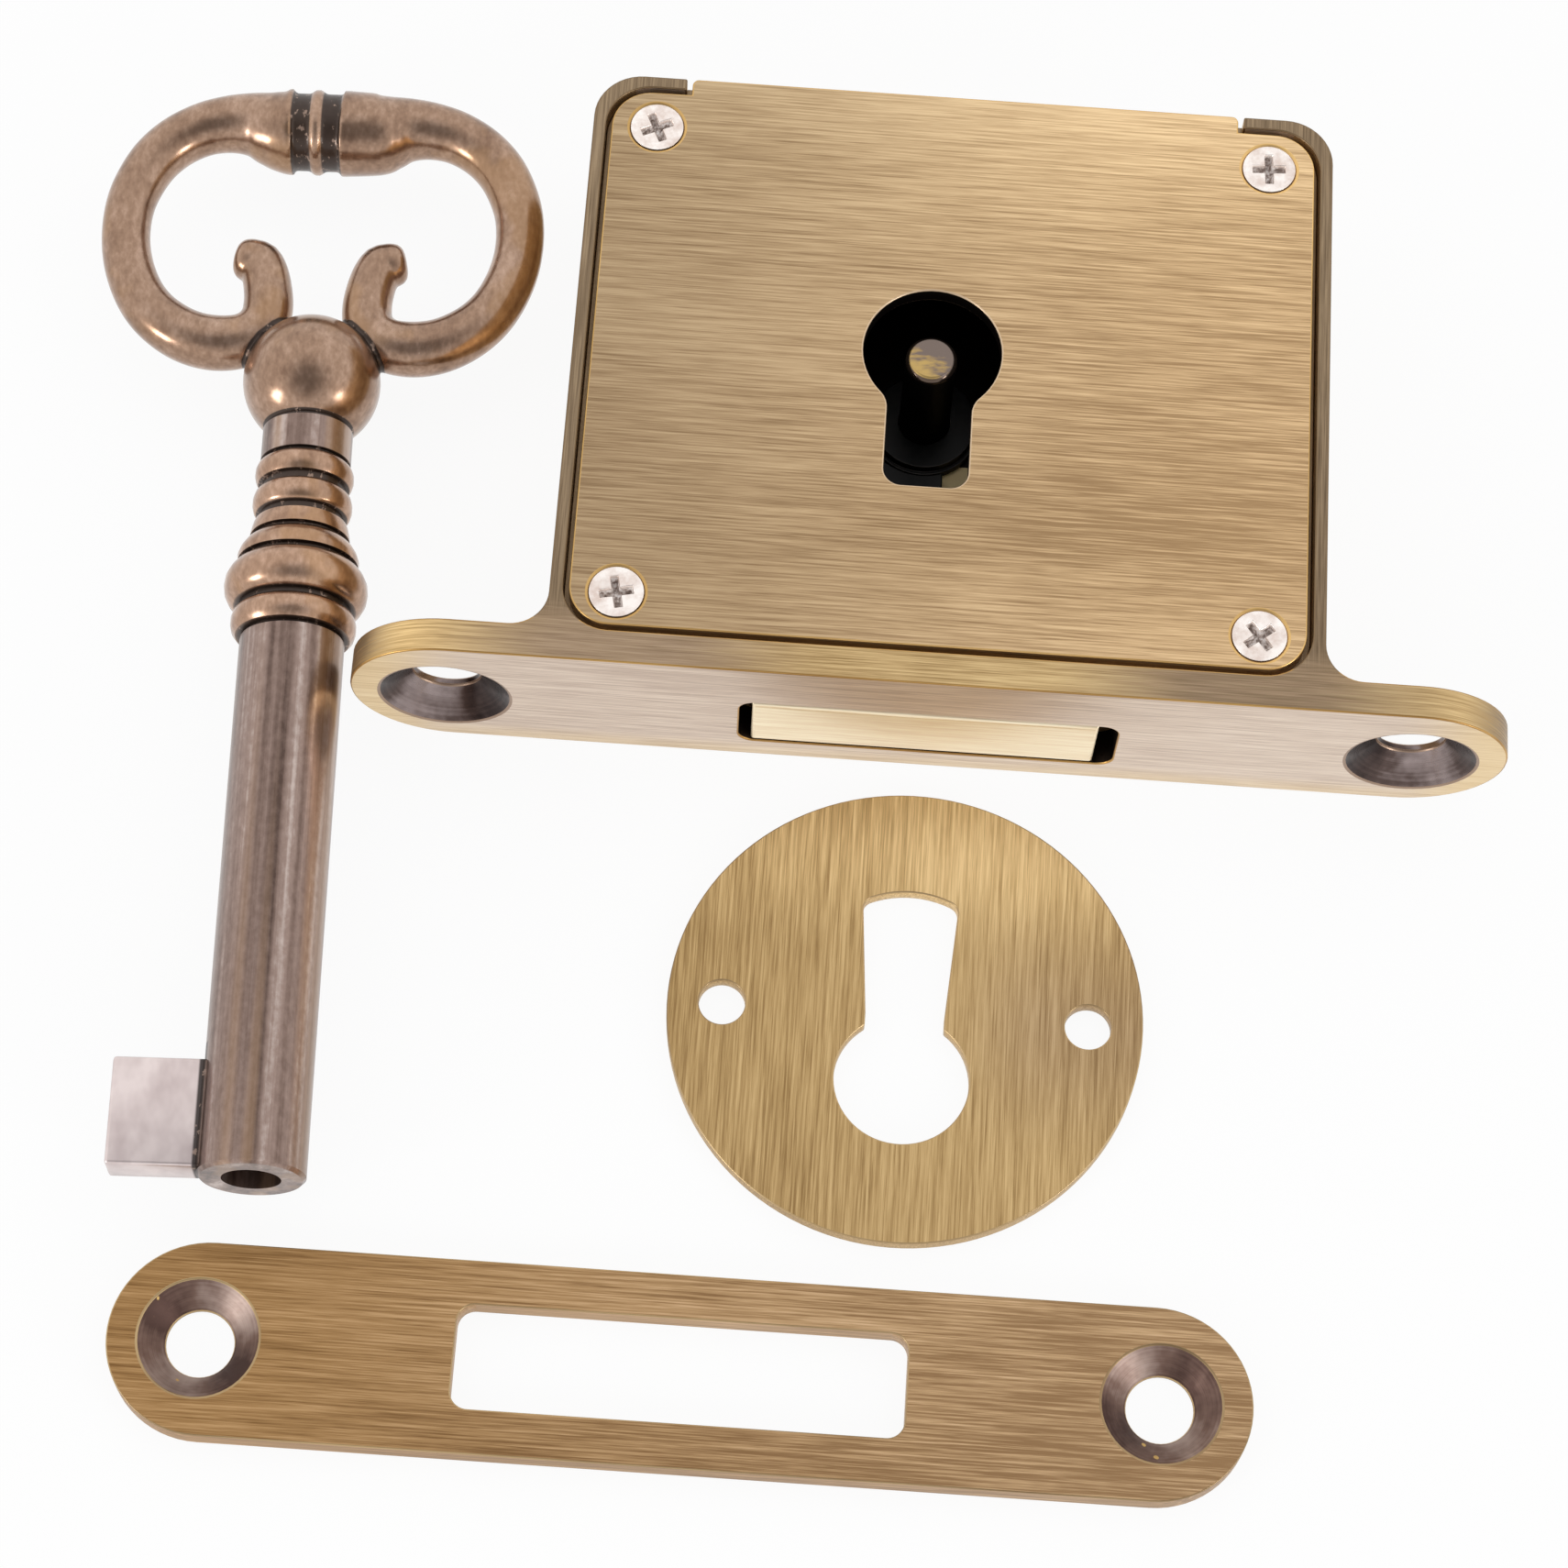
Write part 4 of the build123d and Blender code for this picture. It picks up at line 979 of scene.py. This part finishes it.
def key_grime(tree, hollow, fine, across, along, beside_bit):
    """1 where grime gathers: hollows, the bit's crease, the grooves and beside the bead."""
    depth = calc(tree, "ADD", hollow, fade(tree, fine, 0.15))
    crease = both(tree, span(tree, across, *BIT_CREASE, 0.08), beside_bit)
    grime = either(tree, step_up(tree, depth, 0.13, 0.36), crease)
    for groove in GROOVES:
        grime = either(tree, grime, span(tree, along, *groove, 0.03))
    off_middle = calc(tree, "ABSOLUTE", past(tree, across, BAR_X))
    at_bar = above(tree, along, BAR_Y - 4)
    return either(tree, grime, both(tree, span(tree, off_middle, *BAR_GROOVE, 0.06), at_bar))


def key_material():
    """Antique copper: brown-pink where rubbed, near black in grooves, grey on barrel and bit."""
    material, tree = new_material("key_copper")
    vector = add(tree, "ShaderNodeAttribute", attribute_name="own_place").outputs["Vector"]
    hollow = add(tree, "ShaderNodeAttribute", attribute_name="hollow").outputs["Fac"]
    across, along, _ = separate(tree, vector)
    blotch = spots(tree, vector, BLOTCH_RATES, 3.0, 0.6)
    fine = spots(tree, vector, FINE_RATES, 3.0, 0.6, (4.0, 1.0, 2.0))
    copper = copper_colour(tree, vector, blotch, fine, along)
    barrel, streaks = barrel_colour(tree, vector, fine)
    plain = either(tree, below(tree, along, BARREL_END), span(tree, along, *NECK, 0.05))
    colour = mix(tree, plain, copper, barrel)

    bit_colour = ramp(tree, blotch, [(0.35, linear(198, 182, 180)), (0.65, linear(226, 212, 209))])
    beside_bit = below(tree, along, BIT_TOP)
    on_bit = both(tree, below(tree, across, BIT_START_X), beside_bit)
    colour = mix(tree, on_bit, colour, bit_colour)

    grime = key_grime(tree, hollow, fine, across, along, beside_bit)
    # Painted glints: pale specks in the grooves, over their dark patina.
    glint = fade(tree, step_up(tree, fine, 0.6, 0.66), 0.7)
    dirt_and_glint = mix(tree, glint, linear(46, 36, 32), linear(176, 150, 134))
    colour = mix(tree, fade(tree, grime, 0.92), colour, dirt_and_glint)
    rubbed = step_up(tree, calc(tree, "MULTIPLY", hollow, -1.0), 0.35, 0.9)
    colour = mix(tree, fade(tree, rubbed, 0.25), colour, linear(214, 178, 148))
    roughness = weighted(tree, (blotch, 0.2), (grime, 0.25), (plain, 0.08), base=0.14)
    relief = weighted(tree, (fine, 0.6), (streaks, 0.4))
    shader = finish_metal(tree, colour, roughness, relief, 0.14, 0.92)
    shader.inputs["Coat Weight"].default_value = 0.45
    shader.inputs["Coat Roughness"].default_value = 0.2
    return material


# Bevels of the CAD nodes: vertices closer than the first number are joined, and faces flatter
# than the second become one
WELD_REACH = 0.002
FLAT_ANGLE = radians(0.5)
BEVEL_ANGLE = radians(32)


def crisp(name, width, *materials):
    """Gives a CAD node its materials, and small bevels on its sharp edges.

    A second material is for the bevels.
    """
    piece = nodes[name]
    piece.data.materials.clear()
    for material in materials:
        piece.data.materials.append(material)
    for polygon in piece.data.polygons:
        polygon.use_smooth = True
    weld = piece.modifiers.new("weld", "WELD")
    weld.merge_threshold = WELD_REACH * MM
    flat = piece.modifiers.new("flat", "DECIMATE")
    flat.decimate_type = "DISSOLVE"
    flat.angle_limit = FLAT_ANGLE
    bevel = piece.modifiers.new("bevel", "BEVEL")
    bevel.width = width * MM
    bevel.segments = 2
    bevel.limit_method = "ANGLE"
    bevel.angle_limit = BEVEL_ANGLE
    bevel.use_clamp_overlap = False
    if len(materials) > 1:
        bevel.material = 1
    even = piece.modifiers.new("even", "WEIGHTED_NORMAL")
    even.weight = 60


def bending_spring(number, material):
    """A lever's leaf spring, as a copy of the CAD node's mesh with its own material; the CAD node
    is hidden.
    """
    name = f"lever_spring_{number}"
    leaf = new_object(f"{name}_leaf", nodes[name].data.copy())
    leaf.data.materials.clear()
    leaf.data.materials.append(material)
    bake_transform(leaf)
    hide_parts(name)


def soft_light(name, place):
    """A soft lamp that points at the middle of the object."""
    data = bpy.data.lights.new(name, "AREA")
    data.shape = "RECTANGLE"
    data.size, data.size_y = LAMP_SIZE
    data.energy = LAMP_POWER
    lamp = new_object(name, data)
    lamp.location = place
    aim = Vector(CAMERA_TARGET) * MM - Vector(place)
    lamp.rotation_euler = aim.to_track_quat("-Z", "Y").to_euler()


def finish_mixed(tree, factor, first, second, output):
    """Two shaders mixed by a factor and joined to an output node of the given kind."""
    shaders = {0: factor, 1: first.outputs[0], 2: second.outputs[0]}
    joined = add(tree, "ShaderNodeMixShader", shaders)
    add(tree, output, {"Surface": joined.outputs[0]})


def light_world():
    """Plain soft light from all round, dimmer from above the forend, and a white background."""
    world = bpy.data.worlds.new("studio")
    bpy.context.scene.world = world
    world.use_nodes = True
    tree = world.node_tree
    tree.nodes.clear()
    direction = add(tree, "ShaderNodeTexCoord").outputs["Generated"]
    dim_side = (0.0, -sin(CAMERA_TILT), cos(CAMERA_TILT))
    sides = {0: direction, 1: dim_side}
    nearness = add(tree, "ShaderNodeVectorMath", sides, operation="DOT_PRODUCT").outputs["Value"]
    tone = ramp(tree, nearness, WORLD_TONES)
    light = add(tree, "ShaderNodeBackground", {"Color": tone, "Strength": WORLD_STRENGTH})
    seen = add(tree, "ShaderNodeBackground", {"Color": WHITE, "Strength": 1.0})
    path = add(tree, "ShaderNodeLightPath").outputs
    finish_mixed(tree, path["Is Camera Ray"], light, seen, "ShaderNodeOutputWorld")


def make_floor():
    """A plain white floor that keeps a soft shadow."""
    half = FLOOR_HALF
    mesh = bpy.data.meshes.new("floor")
    corners = [(-half, -half, 0), (half, -half, 0), (half, half, 0), (-half, half, 0)]
    mesh.from_pydata(corners, [], [(0, 1, 2, 3)])
    floor = new_object("floor", mesh)
    floor.location.z = -FLOOR_DROP * MM
    material, tree = new_material("floor_white")
    dull = add(tree, "ShaderNodeBsdfDiffuse", {"Color": FLOOR_TONE})
    glow = add(tree, "ShaderNodeEmission", {"Color": WHITE, "Strength": 1.0})
    path = add(tree, "ShaderNodeLightPath").outputs
    seen = either(tree, path["Is Camera Ray"], path["Is Glossy Ray"])
    seen = either(tree, seen, path["Is Transmission Ray"])
    finish_mixed(tree, fade(tree, seen, FLOOR_GLOW), dull, glow, "ShaderNodeOutputMaterial")
    mesh.materials.append(material)


# Light, floor and camera
bpy.context.scene.view_settings.view_transform = "Standard"
place_camera()
light_world()
make_floor()
soft_light("lamp_left", LAMP_LEFT)
soft_light("lamp_right", LAMP_RIGHT)

# Materials of the CAD nodes
dull_edge = worn_edge("dull_edge", linear(196, 168, 124), linear(152, 126, 92), 6.0)
case_edge = worn_edge(
    "case_edge",
    linear(200, 160, 98),
    linear(164, 126, 74),
    2.0,
    (FOREND_HOLES, Y_AXIS, 5.2, linear(158, 134, 116)),
    linear(128, 106, 80),
)
cover_edge = worn_edge(
    "cover_edge",
    linear(232, 192, 126),
    linear(196, 158, 98),
    6.0,
    ([KEYHOLE_MIDDLE], Z_AXIS, 8.5, linear(214, 188, 156)),
)
case_bronze = case_material()
cover_bronze = cover_material()
nickel = screw_material()
pin_top = pin_material()
steel = plain_metal("pin_steel", linear(128, 118, 108), linear(170, 160, 150), 1200.0, 0.36)
black_edge = plain_metal("black_edge", linear(58, 54, 52), linear(84, 80, 76), 900.0, 0.3, 0.8)
black = plain_metal("black_steel", linear(14, 13, 13), linear(28, 26, 25), 900.0, 0.4, 0.5)
brass = plain_metal(
    "bolt_brass", linear(240, 219, 184), linear(255, 242, 212), 6000.0, 0.4, 0.9, "yz"
)
spring = plain_metal("spring_steel", linear(92, 94, 104), linear(130, 132, 140), 1500.0, 0.3)

# CAD nodes: the number is the width of their bevels
crisp("lock_case", 0.1, case_bronze, case_edge)
crisp("cover_plate", 0.1, cover_bronze, cover_edge)
crisp("cover_screws", 0.05, nickel)
crisp("drill_pin", 0.05, pin_top)
crisp("key_guide_disc", 0.06, black, black_edge)
crisp("bolt_head", 0.05, brass)
crisp("bolt_tail", 0.08, black)
for name in ("tail_rivets", "bolt_stump", "guide_post", "lever_post", "lever_sleeve"):
    crisp(name, 0.05, steel)
for number in (1, 2):
    crisp(f"lever_{number}", 0.08, black)
    bending_spring(number, spring)
crisp("escutcheon", 0.08, escutcheon_material(), dull_edge)
crisp("strike_plate", 0.08, strike_material(), dull_edge)

# Key
key = make_key()
key.data.materials.append(key_material())
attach(key, "key")
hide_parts("key")
